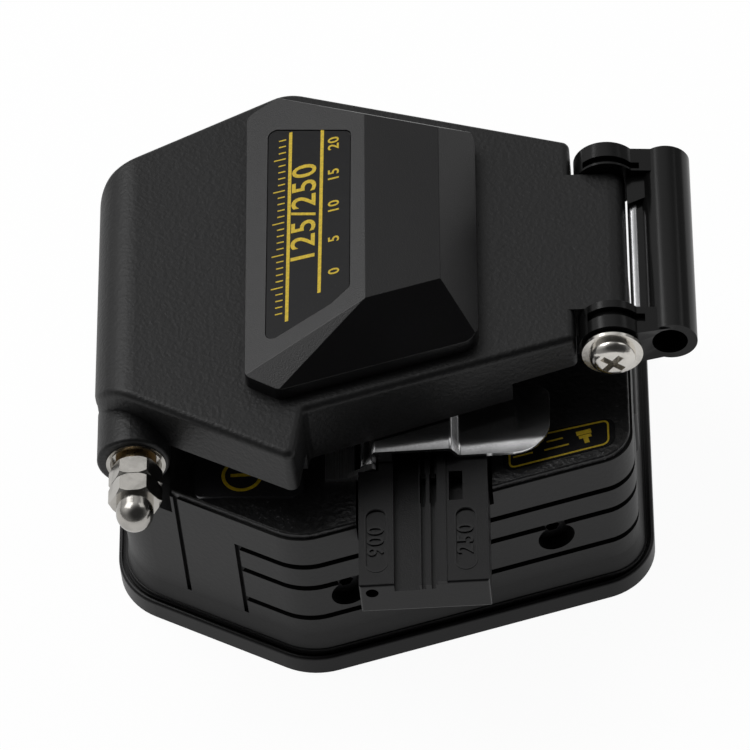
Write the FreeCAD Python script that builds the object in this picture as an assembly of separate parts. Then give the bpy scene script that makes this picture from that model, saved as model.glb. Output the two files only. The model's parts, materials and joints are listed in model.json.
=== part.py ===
import FreeCAD, Part
import math
import os

# Fibre cleaver: a six-sided base with a sliding blade carriage, a hinged lid with a swing latch,
# a fibre holder that stands out at the front and a steel flap that holds the fibre in it.
# Millimetres. X runs from the hinge to the latch, Y from the fibre holder to the back, Z up.
# The origin is the middle of the underside of the base tray.

# ---------------------------------------------------------------- driving dimensions
# Plan of the base, mirrored about the X axis
BASE_LENGTH = 65.0
BASE_LEFT_WIDTH = 37.4
BASE_RIGHT_WIDTH = 40.6
BASE_PEAK_WIDTH = 63.0
BASE_PEAK_X = -9.2
END_X = BASE_LENGTH / 2
TRAY_CORNERS = {"left": 8.5, "peak": 8.5, "right": 7.5}
BODY_CORNERS = {"left": 7.0, "peak": 7.0, "right": 4.5}

# Base tray, body casting and deck plate
TRAY_HEIGHT = 2.8
TRAY_EDGE_ROUND = 0.4
TRAY_GROOVE_INSET = 0.4
TRAY_GROOVE_WIDTH = 0.35
TRAY_GROOVE_DEPTH = 0.5
FOOT_INSET = 0.95
FOOT_HEIGHT = 0.5
FOOT_SLOPE_TOP = 5.6
BODY_INSET = 1.6
FOOT_SLOPE_INSET = 1.1
BODY_TOP = 23.7
DECK_THICKNESS = 0.8
DECK_STEP = 0.3
DECK_EDGE_ROUND = 0.25
FOOT_PAD_INSET = 4.0
FOOT_PAD_THICKNESS = 0.8
FOOT_PAD_GAP = 0.1
FOOT_PAD_ROUNDING = 3.0

# Grooves and holes in the walls of the body
GROOVE_HEIGHTS = (8.8, 14.55, 18.6)
GROOVE_SIZE = 0.9
GROOVE_DEPTH = 0.6
SLOT_LOW_END = 5.9
STEP_SLOT_X = 9.1 - END_X
BAND_SLOT_X = 16.0 - END_X
SLOT_SIZE = 0.6
HINGE_STEP_X = 8.5 - END_X
HINGE_STEP_HEIGHT = 20.6
INDEX_LEFT = HINGE_STEP_X + 3.1
INDEX_OUTLINE = ((INDEX_LEFT, -22.9), (-9.0, -23.6), (-8.0, -22.6), (-8.0, -13.0), (INDEX_LEFT, -13.0))
INDEX_RADII = (0.8, 0.5, 0.5, 0.8, 0.8)
INDEX_THICKNESS = 0.5
SIDE_HOLE_X = (-3.6, END_X - 11.4)
SIDE_HOLE_HEIGHT = 12.2
SIDE_HOLE_DIAMETER = 4.5
SIDE_HOLE_DEPTH = 4.0

# Hinge
HINGE_X = 5.3 - END_X
HINGE_Z = 31.0
SHAFT_DIAMETER = 3.0
THREAD_CHAMFER = 0.3
NUT_CHAMFER = 0.35
BARREL_DIAMETER = 6.8
BARREL_LENGTH = 30.0
HINGE_WEB = 4.6
HINGE_FOOT = (-3.0, 2.9)
HINGE_FOOT_HEIGHT = 2.0
HINGE_FOOT_ROUND = 0.8
EAR_DIAMETER = 8.6
EAR_OFFSET = -0.3
EAR_ROUND = 0.5
EAR_FACE_Y = 22.2
EAR_BACK_Y = 18.3
EAR_INNER_Y = BARREL_LENGTH / 2 + 0.3
BUSH_DIAMETER = 4.8
BUSH_NOSE = 1.0
RING_DIAMETER = 7.0
RING_WALL = 0.45
RING_DEPTH = 1.2
RING_PROUD = 0.2
RING_FLOOR = 0.4
NUT_ACROSS_FLATS = 5.5
NUT_HEIGHT = 2.4
BACK_NUT_HEIGHT = 1.5
NUT_ROOM = 7.2
CAP_HEX_HEIGHT = 2.5
CAP_LENGTH = 6.1
CAP_DOME_DIAMETER = 4.4

# Lid
LID_LEFT = 0.65 - END_X
LID_DATUM = 1.8 - END_X
LID_RIGHT = END_X - 7.6
LID_LEFT_FRONT = BASE_LEFT_WIDTH / 2 - 2.8
LID_LEFT_BACK = BASE_LEFT_WIDTH / 2 - 1.8
LID_PEAK_FRONT = (-8.1, 28.2)
LID_PEAK_BACK = (-9.05, 28.95)
LID_RIGHT_BACK = 19.55
LID_RIGHT_FRONT = 11.35
LID_STEP_X = -6.9
LID_STEP_FRONT = 21.0
LID_DATUM_TOP = 38.8
LID_TILT = 2.4
LID_SKIRT_LEFT = 32.1
LID_SKIRT_PEAK = 31.25
LID_SKIRT_RIGHT = 31.6
LID_DEEP_SKIRT = 28.7
LID_DEEP_END = 17.1
LID_WALL = 1.7
LID_ROOF = 2.0
LID_BACK_ROUND = 4.8
LID_CORNER = 3.0
LID_EDGE_ROUND = 0.9
LID_RADII = [LID_CORNER, 1.0, 0.8, 0.8, 1.0, 5.0, 4.5]
LID_INNER_RADII = [LID_CORNER - 1, 0, 0, 0, 0, 3.5, 3.5]
LID_HINGE_LIP = 33.6
TONGUE_FRONT = -6.9
TONGUE_BACK = 14.1

# Thumb pad on the lid: distances along the lid from its hinge edge, and heights above it
PAD_LEFT = 17.0
PAD_RIGHT = 44.4
PAD_NOSE = 21.0
PAD_NOSE_FRONT = -19.5
PAD_LEFT_FRONT = -17.2
PAD_RIGHT_FRONT = -12.5
PAD_BACK_MARGIN = 3.0
PAD_SKIRT = 1.9
PAD_HEIGHT = 6.5
PAD_RIDGE = 31.3
PAD_RIDGE_FRONT = -9.7
PAD_RIDGE_BACK = 19.0
PAD_FACET_END = 40.1
PAD_RADII = (1.2, 1.2, 2.5, 2.5, 2.0, 1.5)
LABEL_OUTLINE = ((19.4, -13.2), (27.2, -9.4), (29.5, -7.4), (29.7, 17.0), (19.6, 20.3))
LABEL_RADII = (1.0, 1.0, 0.8, 1.0, 1.0)
LABEL_DEPTH = 0.3
LABEL_THICKNESS = 0.2

# Latch
PIVOT_X = END_X - 3.35
PIVOT_Z = 34.1
LATCH_FRONT = -11.1
LATCH_BACK = 17.7
LATCH_LOBE = 7.8
LATCH_TUBE_X = PIVOT_X + 7.05
LATCH_TUBE_FRONT = -10.3
LATCH_TUBE_Z = 33.7
LATCH_TUBE_DIAMETER = 6.0
LATCH_TUBE_BORE = 4.2
LATCH_FRONT_SLIT = (-9.3, -8.1)
LATCH_BACK_SLIT = (14.55, 15.5)
LATCH_SLIT_DEPTH = 0.7
LATCH_SLIT_LEFT = 2.7
LATCH_GUSSET = (9.9, 10.9)
LATCH_COLLAR = (6.4, 0.55)
LATCH_WEB = 1.5
LATCH_ROD_DIAMETER = 1.4
LATCH_ROD_REACH = 3.1
LATCH_NECK = {"lobe": (-0.8, 0.7), "tube": (-0.85, 0.8)}
LATCH_SCREW_HEAD = 7.2
LATCH_SCREW_HEIGHT = 1.9
LATCH_SCREW_DIAMETER = 3.0
LATCH_SCREW_LENGTH = 9.5
LATCH_PIN_LENGTH = 9.0
LATCH_PIN_SUNK = 0.2
LATCH_PIN_SLOT = (0.6, 0.8)
PAN_FLANGE = 0.4
PAN_DOME_SHARE = 0.76
PAN_ROUND_SHARE = 0.65
CROSS_SHARE = 0.22
CROSS_FLOOR_SHARE = 0.45
CROSS_WIDTH = 0.8
CROSS_TURN = 40.0

# Fibre holder
HOLDER_LEFT = -1.45
HOLDER_RIGHT = 13.75
HOLDER_FRONT = -38.6
HOLDER_BACK = -9.3
HOLDER_TOP = 26.4
HOLDER_THICKNESS = 4.9
HOLDER_GAP = 0.45
FIBRE_X = 6.1
HOLDER_SCREW = (11.5, -11.5)
LANE_SCREW_SEAT = 1.5
HOLDER_MAGNET = (11.6, -16.6)
MAGNET_DIAMETER = 3.2
MAGNET_LENGTH = 2.0
HOLDER_ROUND = 0.3
CABLE_LANE = {"left": 2.65, "right": 5.6, "depth": 1.2}
LANE_BED = {"left": 5.6, "right": 7.8, "depth": 0.35}
FINE_LANES = (FIBRE_X, 7.25)
FINE_LANE_WIDTH = 0.5
HOLDER_RIB = {"left": 7.8, "right": 8.85, "height": 0.2}
WINDOW_ENDS = (-26.5, -22.2)
WINDOW_SIDES = ((5.75, 6.45), (6.9, 7.7), (9.2, 10.8))
WINDOW_DEPTH = 2.0
SIZE_MARKS = ((0.6, -32.0, 2.4, 9.2), (11.1, -32.3, 2.3, 9.0))
SIZE_MARK_DEPTH = 0.25
EYELET = {"x": 0.0, "below": 1.4, "diameter": 1.5, "depth": 4.0}

# Steel flap over the holder
FLAP_THICKNESS = 0.45
FLAP_PIN_X = -0.3
FLAP_PIN_Z = 25.3
FLAP_PIN_DIAMETER = 1.0
FLAP_LEFT = 0.25
FLAP_FRONT = -20.4
FLAP_BACK = -10.6
FLAP_RAISED_TOP = 28.45
FLAP_STEP_X = 9.6
FLAP_RAMP = 0.9
FLAP_LOW_TOP = 27.1
FLAP_END = 21.3
FLAP_CORNER = 3.0
FLAP_PAD = (2.9, 8.9)
FLAP_PAD_ROUND = 0.3
FLAP_PIN_REACH = 1.0
LUG_THICKNESS = 0.75
LUG_GAP = 0.15
BRACKET_WIDTH = 3.5
BRACKET_THICKNESS = 0.5

# Blade carriage and blade wheel
FIBRE_Z = 25.35
FIBRE_SINK = 0.07
BLADE_DIAMETER = 16.0
BLADE_THICKNESS = 0.8
BLADE_X = -9.0
CARRIAGE_LEFT = 12.5 - END_X
CARRIAGE_RIGHT = 8.0
CARRIAGE_WIDTH = 15.0
CARRIAGE_TOP = 20.6
CARRIAGE_TRAVEL = END_X - 12.5
GUARD_WIDTH = 3.2
GUARD_TOP = 24.2
KNOB_WIDTH = 11.0
KNOB_LOW = 7.2
KNOB_HIGH = 14.6
KNOB_END = END_X - 1.2
KNOB_ROUND = 0.8
KNOB_RIBS = (-3.2, -1.6, 0.0, 1.6, 3.2)
KNOB_RIB = {"width": 0.8, "depth": 0.5, "margin": 1.2}
RAIL_WIDTH = 4.0
RAIL_HEIGHT = 3.2
RAIL_CHAMFER = 0.4
CARRIAGE_ROUND = 1.2
SPINDLE_DIAMETER = 3.0
HUB_DIAMETER = 6.4
HUB_THICKNESS = 3.0
HUB_NOTCHES = 8
HUB_NOTCH = (0.9, 1.2)
COVER_DISC = (16.4, 1.5)
SPINDLE_BACK = 4.5
BLADE_BEVEL = 0.8

# Clamps, their pads and the cover that carries the upper ones
CLAMP_LENGTH = 7.0
CLAMP_NEAR = 2.6
CLAMP_FAR = 7.4
CLAMP_PAD_LENGTH = 5.6
CLAMP_PAD_WIDTH = 3.4
LOWER_CLAMP_LOW = 22.2
LOWER_CLAMP_HIGH = 24.8
LOWER_PAD_TOP = 25.3
UPPER_PAD_LOW = 25.4
UPPER_CLAMP_LOW = 26.0
PAD_SEAT_DEPTH = 0.5
CLAMP_CHAMFER = 0.3
COVER_LOW = 31.6
COVER_HIGH = 33.0
COVER_GAP = 0.25
COVER_POST = 5.0

# Anvil between the upper clamps
ANVIL_LOW = 26.2
ANVIL_STEM = 2.0
ANVIL_TIP_HEIGHT = 1.0
ANVIL_TIP_SIZE = (3.0, 2.8)
ANVIL_GUIDE_LOW = 29.6
ANVIL_GUIDE_SIZE = (4.4, 4.0)
ANVIL_SHOULDER = 0.5
ANVIL_SHOULDER_SIZE = (4.2, 3.2)
ANVIL_NUT = (3.4, 0.9)
SPRING_WIRE = 0.35
SPRING_RADIUS = 1.6
SPRING_TURNS = 3

# Screws: thread diameter, head diameter, head height, thread length, width of the socket
BASE_SCREW = (3.0, 5.4, 1.1, 7.0, 2.0)
BLOCK_SCREW = (2.45, 4.4, 1.6, 7.0, 2.0)
COVER_SCREW = (1.8, 3.6, 1.1, 4.8, 1.5)
LANE_SCREW = (1.9, 3.6, 1.2, 5.9, 1.5)
RAIL_SCREW = (2.2, 3.5, 1.2, 3.3, 1.5)
SOCKET_SHARE = 0.6
DECK_SCREW = {"diameter": 2.45, "head": 4.5, "length": 5.0}
SIDE_SCREW = {"length": 2.2, "socket": 1.5, "depth": 1.2}
HEIGHT_SCREW = {"diameter": 2.96, "length": 5.2, "sunk": 0.3, "socket": 1.5}

# Places of the screws
BASE_SCREW_INSET = (8.5, 5.2)
BASE_SCREW_SEAT = 2.0
COVER_SCREWS = ((14.0 - END_X, -13.5), (14.0 - END_X, 13.5), (END_X - 13.5, -7.5), (END_X - 13.5, 12.0))
DECK_SCREWS = ((13.0 - END_X, -10.4), (13.0 - END_X, 10.4), (END_X - 7.5, 9.5))
BASE_SCREWS = [(x, y) for x in (BASE_SCREW_INSET[0] - END_X, END_X - BASE_SCREW_INSET[0])
               for y in (BASE_SCREW_INSET[1] - BASE_LEFT_WIDTH / 2, BASE_LEFT_WIDTH / 2 - BASE_SCREW_INSET[1])]
RAIL_SCREWS = (17.5 - END_X, END_X - 12.5)
RAIL_SCREW_SINK = 0.1
BLOCK_SCREW_Y = BARREL_LENGTH / 2 - 2.4

# Clearances
RUNNING_FIT = 0.05
SLIDING_GAP = 0.3
SEAT_GAP = 0.02
SCREW_GAP = 0.1
HEAD_GAP = 0.2
LOOSE_GAP = 0.1
SWING_GAP = 0.4

# Longer than any part, for cutters that pass right through
FAR = 80.0

# Worked-out levels
DECK_TOP = BODY_TOP + DECK_THICKNESS
TUNNEL_TOP = CARRIAGE_TOP + SLIDING_GAP
TUNNEL_LEFT = CARRIAGE_LEFT - 2.0
TUNNEL_RIGHT = CARRIAGE_RIGHT + CARRIAGE_TRAVEL + SLIDING_GAP
BLADE_Z = FIBRE_Z - BLADE_DIAMETER / 2
HEIGHT_SCREW_X = CARRIAGE_RIGHT - 4.0
HOLDER_LOW = HOLDER_TOP - HOLDER_THICKNESS
CARRIAGE_LOW = TRAY_HEIGHT + 2 * SLIDING_GAP
BUSH_END_Y = EAR_FACE_Y + BUSH_NOSE
NUT_END_Y = BUSH_END_Y + NUT_HEIGHT + LOOSE_GAP
CAP_START_Y = NUT_END_Y + LOOSE_GAP
BACK_NUT_Y = EAR_BACK_Y + SLIDING_GAP
POCKET_FRONT = -CARRIAGE_WIDTH / 2 - 1
POCKET_BACK = BLADE_THICKNESS / 2 + SLIDING_GAP


# ---------------------------------------------------------------- helpers
def vec(x, y, z):
    return FreeCAD.Vector(x, y, z)


def box(x0, x1, y0, y1, z0, z1):
    """A box between two corners."""
    return Part.makeBox(x1 - x0, y1 - y0, z1 - z0, vec(x0, y0, z0))


def rod_y(x, z, diameter, y0, y1):
    """A cylinder along Y."""
    return Part.makeCylinder(diameter / 2, y1 - y0, vec(x, y0, z), vec(0, 1, 0))


def rod_z(x, y, diameter, z0, z1):
    """A cylinder along Z."""
    return Part.makeCylinder(diameter / 2, z1 - z0, vec(x, y, z0))


def mirror_y(shape):
    """The same shape on the other side of the X axis."""
    return shape.mirror(vec(0, 0, 0), vec(0, 1, 0))


def both_sides(shape):
    """A shape and its mirror image as one group."""
    return Part.makeCompound([shape, mirror_y(shape)])


def inset_polygon(points, distance):
    """A closed polygon, given anticlockwise, with every side moved inwards."""
    moved = []
    count = len(points)
    for i in range(count):
        before, here, after = points[i - 1], points[i], points[(i + 1) % count]
        ax, ay = here[0] - before[0], here[1] - before[1]
        bx, by = after[0] - here[0], after[1] - here[1]
        al, bl = math.hypot(ax, ay), math.hypot(bx, by)
        ax, ay, bx, by = ax / al, ay / al, bx / bl, by / bl
        turn = ax * by - ay * bx
        along = distance * (1 - (ax * bx + ay * by)) / turn
        moved.append((here[0] - ay * distance - ax * along, here[1] + ax * distance - ay * along))
    return moved


def rounded_wire(points, radii, level=0.0, plane="xy"):
    """A closed wire through points, with an arc of the given radius at each of them."""
    def place(a, b):
        return vec(a, b, level) if plane == "xy" else vec(a, level, b)

    count = len(points)
    starts, middles, ends = [], [], []
    for i in range(count):
        here = vec(points[i][0], points[i][1], 0)
        to_last = vec(points[i - 1][0], points[i - 1][1], 0) - here
        to_next = vec(points[(i + 1) % count][0], points[(i + 1) % count][1], 0) - here
        to_last.normalize()
        to_next.normalize()
        half = to_last.getAngle(to_next) / 2
        inward = to_last + to_next
        reach = radii[i] / math.tan(half)
        starts.append(here + to_last * reach)
        ends.append(here + to_next * reach)
        if radii[i] > 0:
            inward.normalize()
            middles.append(here + inward * (radii[i] / math.sin(half) - radii[i]))
        else:
            middles.append(None)
    edges = []
    for i in range(count):
        if middles[i] is not None:
            arc = Part.Arc(*[place(p.x, p.y) for p in (starts[i], middles[i], ends[i])])
            edges.append(arc.toShape())
        start, end = ends[i], starts[(i + 1) % count]
        if (end - start).Length > 1e-6:
            edges.append(Part.makeLine(place(start.x, start.y), place(end.x, end.y)))
    return Part.Wire(edges)


def slab(points, radii, z0, z1):
    """A plate with a plan outline."""
    return Part.Face(rounded_wire(points, radii, z0)).extrude(vec(0, 0, z1 - z0))


def slice_y(points, radii, y0, y1):
    """A solid with a side outline in X and Z, running along Y."""
    return Part.Face(rounded_wire(points, radii, y0, "xz")).extrude(vec(0, y1 - y0, 0))


def edges_at_height(shape, z, low_x=-1000.0):
    """The edges that lie flat at one height, right of a given X."""
    found = []
    for edge in shape.Edges:
        bounds = edge.BoundBox
        if abs(bounds.ZMin - z) < 1e-4 and abs(bounds.ZMax - z) < 1e-4 and bounds.XMin > low_x:
            found.append(edge)
    return found


def cap_screw(x, y, seat, size, head_up=True):
    """A screw with a round head above or below its seat, and a hexagon socket in the head."""
    diameter, head, head_height, length, socket = size
    screw = rod_z(x, y, head, 0, head_height).fuse(rod_z(x, y, diameter, -length, 0))
    screw = screw.cut(hexagon(x, y, socket, head_height * (1 - SOCKET_SHARE), head_height + 1))
    if not head_up:
        screw = screw.mirror(vec(0, 0, 0), vec(0, 0, 1))
    return screw.translated(vec(0, 0, seat))


def countersunk_screw(x, y, top, diameter, head, length):
    """A countersunk screw standing on its point, with a hexagon socket in its head."""
    head_height = (head - diameter) / 2
    cone = Part.makeCone(diameter / 2, head / 2, head_height, vec(x, y, top - head_height))
    shank = rod_z(x, y, diameter, top - length, top - head_height)
    return cone.fuse(shank).cut(hexagon(x, y, diameter * 0.6, top - head_height * 0.8, top))


def hexagon(x, y, across_flats, z0, z1):
    """A six-sided prism along Z."""
    radius = across_flats / math.sqrt(3)
    corners = [(x + radius * math.cos(math.radians(60 * i)), y + radius * math.sin(math.radians(60 * i)))
               for i in range(6)]
    return slab(corners, [0] * 6, z0, z1)


def pan_screw(diameter, head, head_height, length):
    """A screw along Y with a flanged round head towards -Y and a cross recess; its seat is at the origin."""
    flange = rod_y(0, 0, head, -PAN_FLANGE, 0)
    dome = rod_y(0, 0, head * PAN_DOME_SHARE, -head_height, -PAN_FLANGE)
    rim = [e for e in dome.Edges if abs(e.BoundBox.YMax + head_height) < 1e-4]
    dome = dome.makeFillet(head_height * PAN_ROUND_SHARE, rim)
    shank = rod_y(0, 0, diameter, 0, length)
    arm, half, floor = head * CROSS_SHARE, CROSS_WIDTH / 2, -head_height * CROSS_FLOOR_SHARE
    cross = [box(-arm, arm, -head_height, floor, -half, half), box(-half, half, -head_height, floor, -arm, arm)]
    return flange.fuse([dome, shank]).cut(cross).rotated(vec(0, 0, 0), vec(0, 1, 0), CROSS_TURN)


def hex_nut_y(across_flats, height, bore):
    """A chamfered nut with its axis along Y, from y = 0 to y = -height."""
    nut = hexagon(0, 0, across_flats, 0, height)
    corner = across_flats / math.sqrt(3)
    trim = rod_z(0, 0, corner * 2, 0, height)
    trim = trim.makeChamfer(NUT_CHAMFER, edges_at_height(trim, 0) + edges_at_height(trim, height))
    nut = nut.common(trim).cut(rod_z(0, 0, bore, -1, height + 1))
    return nut.rotated(vec(0, 0, 0), vec(1, 0, 0), 90)


def cut_above(shape, points, drop=0.0):
    """The shape without what lies above the plane through three points, lowered by a drop."""
    first, second, third = [vec(*p) for p in points]
    normal = (second - first).cross(third - first)
    normal.normalize()
    if normal.z < 0:
        normal = normal * -1
    size = 200.0
    block = Part.makeBox(size, size, size, vec(-size / 2, -size / 2, 0))
    block.Placement = FreeCAD.Placement(first - normal * drop, FreeCAD.Rotation(vec(0, 0, 1), normal))
    return shape.cut(block)


# ---------------------------------------------------------------- plans
def base_plan(inset):
    """The six corners of the base, moved inwards."""
    half_left, half_peak, half_right = BASE_LEFT_WIDTH / 2, BASE_PEAK_WIDTH / 2, BASE_RIGHT_WIDTH / 2
    left, right = -BASE_LENGTH / 2, BASE_LENGTH / 2
    corners = [(left, -half_left), (BASE_PEAK_X, -half_peak), (right, -half_right),
               (right, half_right), (BASE_PEAK_X, half_peak), (left, half_left)]
    return inset_polygon(corners, inset)


def corner_radii(corners):
    """Radii in the order of base_plan."""
    return [corners[name] for name in ("left", "peak", "right", "right", "peak", "left")]


def body_slab(inset, z0, z1):
    """A slab with the plan of the body."""
    return slab(base_plan(inset), corner_radii(BODY_CORNERS), z0, z1)


def lid_plan(inset=0.0):
    """The corners of the lid without its tongue, moved inwards."""
    corners = [(LID_LEFT, -LID_LEFT_FRONT), (LID_PEAK_FRONT[0], -LID_PEAK_FRONT[1]),
               (LID_STEP_X, -LID_STEP_FRONT), (LID_RIGHT, -LID_RIGHT_FRONT),
               (LID_RIGHT, LID_RIGHT_BACK), LID_PEAK_BACK, (LID_LEFT, LID_LEFT_BACK)]
    return inset_polygon(corners, inset)


def lid_top(x):
    """The height of the sloping top of the lid."""
    return LID_DATUM_TOP - (x - LID_DATUM) * math.tan(math.radians(LID_TILT))


def tongue_radius():
    """The radius of the latch tongue, round the pivot and touching the sloping top of the lid."""
    return (lid_top(PIVOT_X) - PIVOT_Z) * math.cos(math.radians(LID_TILT))


# ---------------------------------------------------------------- base
def base_tray():
    """The flanged tray that the body stands on, with a groove round its ledge."""
    radii = corner_radii(TRAY_CORNERS)
    tray = slab(base_plan(0), radii, 0, TRAY_HEIGHT)
    tray = tray.makeFillet(TRAY_EDGE_ROUND, edges_at_height(tray, TRAY_HEIGHT))
    inner = TRAY_GROOVE_INSET + TRAY_GROOVE_WIDTH
    groove = slab(base_plan(TRAY_GROOVE_INSET), [r - TRAY_GROOVE_INSET for r in radii],
                  TRAY_HEIGHT - TRAY_GROOVE_DEPTH, TRAY_HEIGHT + 1)
    groove = groove.cut(slab(base_plan(inner), [r - inner for r in radii],
                             TRAY_HEIGHT - TRAY_GROOVE_DEPTH - 1, TRAY_HEIGHT + 2))
    tray = tray.cut(groove)
    tray = tray.cut(slab(base_plan(FOOT_PAD_INSET), [r - FOOT_PAD_ROUNDING for r in radii],
                         -1, FOOT_PAD_THICKNESS))
    for x, y in BASE_SCREWS:
        tray = tray.cut([rod_z(x, y, BASE_SCREW[1] + 2 * HEAD_GAP, -1, BASE_SCREW_SEAT),
                         rod_z(x, y, BASE_SCREW[0] + 2 * SCREW_GAP, 0, TRAY_HEIGHT + 1)])
    for x in RAIL_SCREWS:
        tray = tray.cut(rod_z(x, 0, RAIL_SCREW[0] + SLIDING_GAP, rail_screw_seat() - RAIL_SCREW[3] - HEAD_GAP,
                              TRAY_HEIGHT + 1))
    return tray


def foot_pad():
    """The soft sheet under the tray."""
    radii = [r - FOOT_PAD_ROUNDING - FOOT_PAD_GAP for r in corner_radii(TRAY_CORNERS)]
    pad = slab(base_plan(FOOT_PAD_INSET + FOOT_PAD_GAP), radii, 0, FOOT_PAD_THICKNESS)
    for x, y in BASE_SCREWS:
        pad = pad.cut(rod_z(x, y, BASE_SCREW[1] + 1, -1, 2))
    return pad


def base_screws():
    """Four screws from below into the body."""
    return Part.makeCompound([cap_screw(x, y, BASE_SCREW_SEAT, BASE_SCREW, False) for x, y in BASE_SCREWS])


def front_face_line(x, inset, right_side):
    """A point on a front wall of the body and the turn of that wall about Z in degrees."""
    corners = base_plan(inset)
    start, end = (corners[1], corners[2]) if right_side else (corners[0], corners[1])
    share = (x - start[0]) / (end[0] - start[0])
    turn = math.degrees(math.atan2(end[1] - start[1], end[0] - start[0]))
    return start[1] + share * (end[1] - start[1]), turn


def side_holes():
    """The two round holes in the front right wall, square to it."""
    holes = []
    for x in SIDE_HOLE_X:
        y, turn = front_face_line(x, BODY_INSET, True)
        hole = rod_y(0, 0, SIDE_HOLE_DIAMETER, -2, SIDE_HOLE_DEPTH)
        holes.append(hole.rotated(vec(0, 0, 0), vec(0, 0, 1), turn).translated(vec(x, y, SIDE_HOLE_HEIGHT)))
    return holes


def wall_slot(x, z0, z1):
    """An upright slot in the front left wall."""
    y, turn = front_face_line(x, BODY_INSET, False)
    slot = box(-SLOT_SIZE / 2, SLOT_SIZE / 2, -1, GROOVE_DEPTH, z0, z1)
    return slot.rotated(vec(0, 0, 0), vec(0, 0, 1), turn).translated(vec(x, y, 0))


def holder_seat():
    """The space that the fibre holder slides into."""
    return box(HOLDER_LEFT - HOLDER_GAP, HOLDER_RIGHT + HOLDER_GAP, HOLDER_FRONT - 1, HOLDER_BACK + LOOSE_GAP,
               HOLDER_LOW, HOLDER_TOP + 5)


def guard_slot():
    """The slot in the top that the blade guard runs along."""
    half = GUARD_WIDTH / 2 + SLIDING_GAP
    reach = BLADE_DIAMETER / 2 + SLIDING_GAP
    return box(BLADE_X - reach, BLADE_X + CARRIAGE_TRAVEL + reach, -half, half, TUNNEL_TOP - 1, DECK_TOP + 1)


def clamp_seats():
    """The two pockets that hold the lower clamps."""
    half = CLAMP_LENGTH / 2 + LOOSE_GAP
    seat = box(FIBRE_X - half, FIBRE_X + half, CLAMP_NEAR - LOOSE_GAP, CLAMP_FAR + LOOSE_GAP,
               LOWER_CLAMP_LOW, DECK_TOP + 1)
    return [seat, mirror_y(seat)]


def base_body():
    """The cast body: grooved walls, a stepped hinge side and a tunnel for the blade carriage."""
    radii = corner_radii(BODY_CORNERS)
    wide = [r + BODY_INSET - FOOT_INSET for r in radii]
    foot = slab(base_plan(FOOT_INSET), wide, TRAY_HEIGHT, TRAY_HEIGHT + FOOT_HEIGHT)
    slope = Part.makeLoft([rounded_wire(base_plan(FOOT_SLOPE_INSET), wide, TRAY_HEIGHT + FOOT_HEIGHT),
                           rounded_wire(base_plan(BODY_INSET), radii, FOOT_SLOPE_TOP)], True, True)
    body = body_slab(BODY_INSET, FOOT_SLOPE_TOP, BODY_TOP)
    body = body.cut(box(-BASE_LENGTH, HINGE_STEP_X, -FAR, FAR, HINGE_STEP_HEIGHT, BODY_TOP + 1))
    for height in GROOVE_HEIGHTS:
        low, high = height - GROOVE_SIZE / 2, height + GROOVE_SIZE / 2
        ring = body_slab(BODY_INSET - 1, low, high).cut(
            slab(base_plan(BODY_INSET + GROOVE_DEPTH), [r - GROOVE_DEPTH for r in radii], low - 1, high + 1))
        body = body.cut(ring.common(box(BAND_SLOT_X, BASE_LENGTH, -FAR, FAR, 0, BODY_TOP)))
    body = foot.fuse([slope, body])
    step_slot = wall_slot(STEP_SLOT_X, SLOT_LOW_END, BODY_TOP + 1)
    band_slot = wall_slot(BAND_SLOT_X, SLOT_LOW_END, GROOVE_HEIGHTS[-1] + GROOVE_SIZE / 2)
    cutters = [step_slot, mirror_y(step_slot), band_slot, mirror_y(band_slot), holder_seat(), guard_slot()]
    cutters += side_holes() + clamp_seats()
    half_tunnel = CARRIAGE_WIDTH / 2 + SLIDING_GAP
    half_window = KNOB_WIDTH / 2 + SLIDING_GAP
    cutters.append(box(TUNNEL_LEFT, TUNNEL_RIGHT, -half_tunnel, half_tunnel, 0, TUNNEL_TOP))
    cutters.append(box(TUNNEL_RIGHT - 1, BASE_LENGTH, -half_window, half_window,
                       KNOB_LOW - SLIDING_GAP, KNOB_HIGH + SLIDING_GAP))
    cutters += [rod_z(x, y, BASE_SCREW[0], 0, BASE_SCREW_SEAT + BASE_SCREW[3] + 1) for x, y in BASE_SCREWS]
    cutters += [deck_screw_hole(x, y) for x, y in DECK_SCREWS]
    cutters += [rod_z(HINGE_X, y, BLOCK_SCREW[0] + RUNNING_FIT, HINGE_STEP_HEIGHT - 6, HINGE_STEP_HEIGHT + 1)
                for y in (-BLOCK_SCREW_Y, BLOCK_SCREW_Y)]
    cutters.append(rod_z(HOLDER_SCREW[0], HOLDER_SCREW[1], LANE_SCREW[0] + SCREW_GAP,
                         HOLDER_LOW - 3, HOLDER_LOW + 1))
    return body.cut(cutters)


def deck_screw_hole(x, y):
    """The countersunk hole for one deck screw."""
    bore, mouth = DECK_SCREW["diameter"] + RUNNING_FIT, DECK_SCREW["head"] + HEAD_GAP
    depth = (mouth - bore) / 2
    cone = Part.makeCone(bore / 2, mouth / 2, depth, vec(x, y, DECK_TOP - depth))
    return cone.fuse([rod_z(x, y, bore, DECK_TOP - DECK_SCREW["length"] - HEAD_GAP, DECK_TOP),
                      rod_z(x, y, mouth, DECK_TOP, DECK_TOP + 1)])


def deck_plate():
    """The top plate of the base, open for the holder, the clamps and the blade guard."""
    inset = BODY_INSET + DECK_STEP
    deck = body_slab(inset, BODY_TOP, DECK_TOP)
    deck = deck.cut(box(-BASE_LENGTH, HINGE_STEP_X + DECK_STEP, -FAR, FAR, 0, DECK_TOP + 1))
    deck = deck.makeFillet(DECK_EDGE_ROUND, edges_at_height(deck, DECK_TOP, HINGE_STEP_X + 1))
    return deck.cut([holder_seat(), guard_slot()] + clamp_seats()
                    + [deck_screw_hole(x, y) for x, y in DECK_SCREWS])


def deck_screws():
    """The countersunk screws in the deck."""
    return Part.makeCompound([countersunk_screw(x, y, DECK_TOP - RUNNING_FIT, *DECK_SCREW.values())
                              for x, y in DECK_SCREWS])


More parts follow.
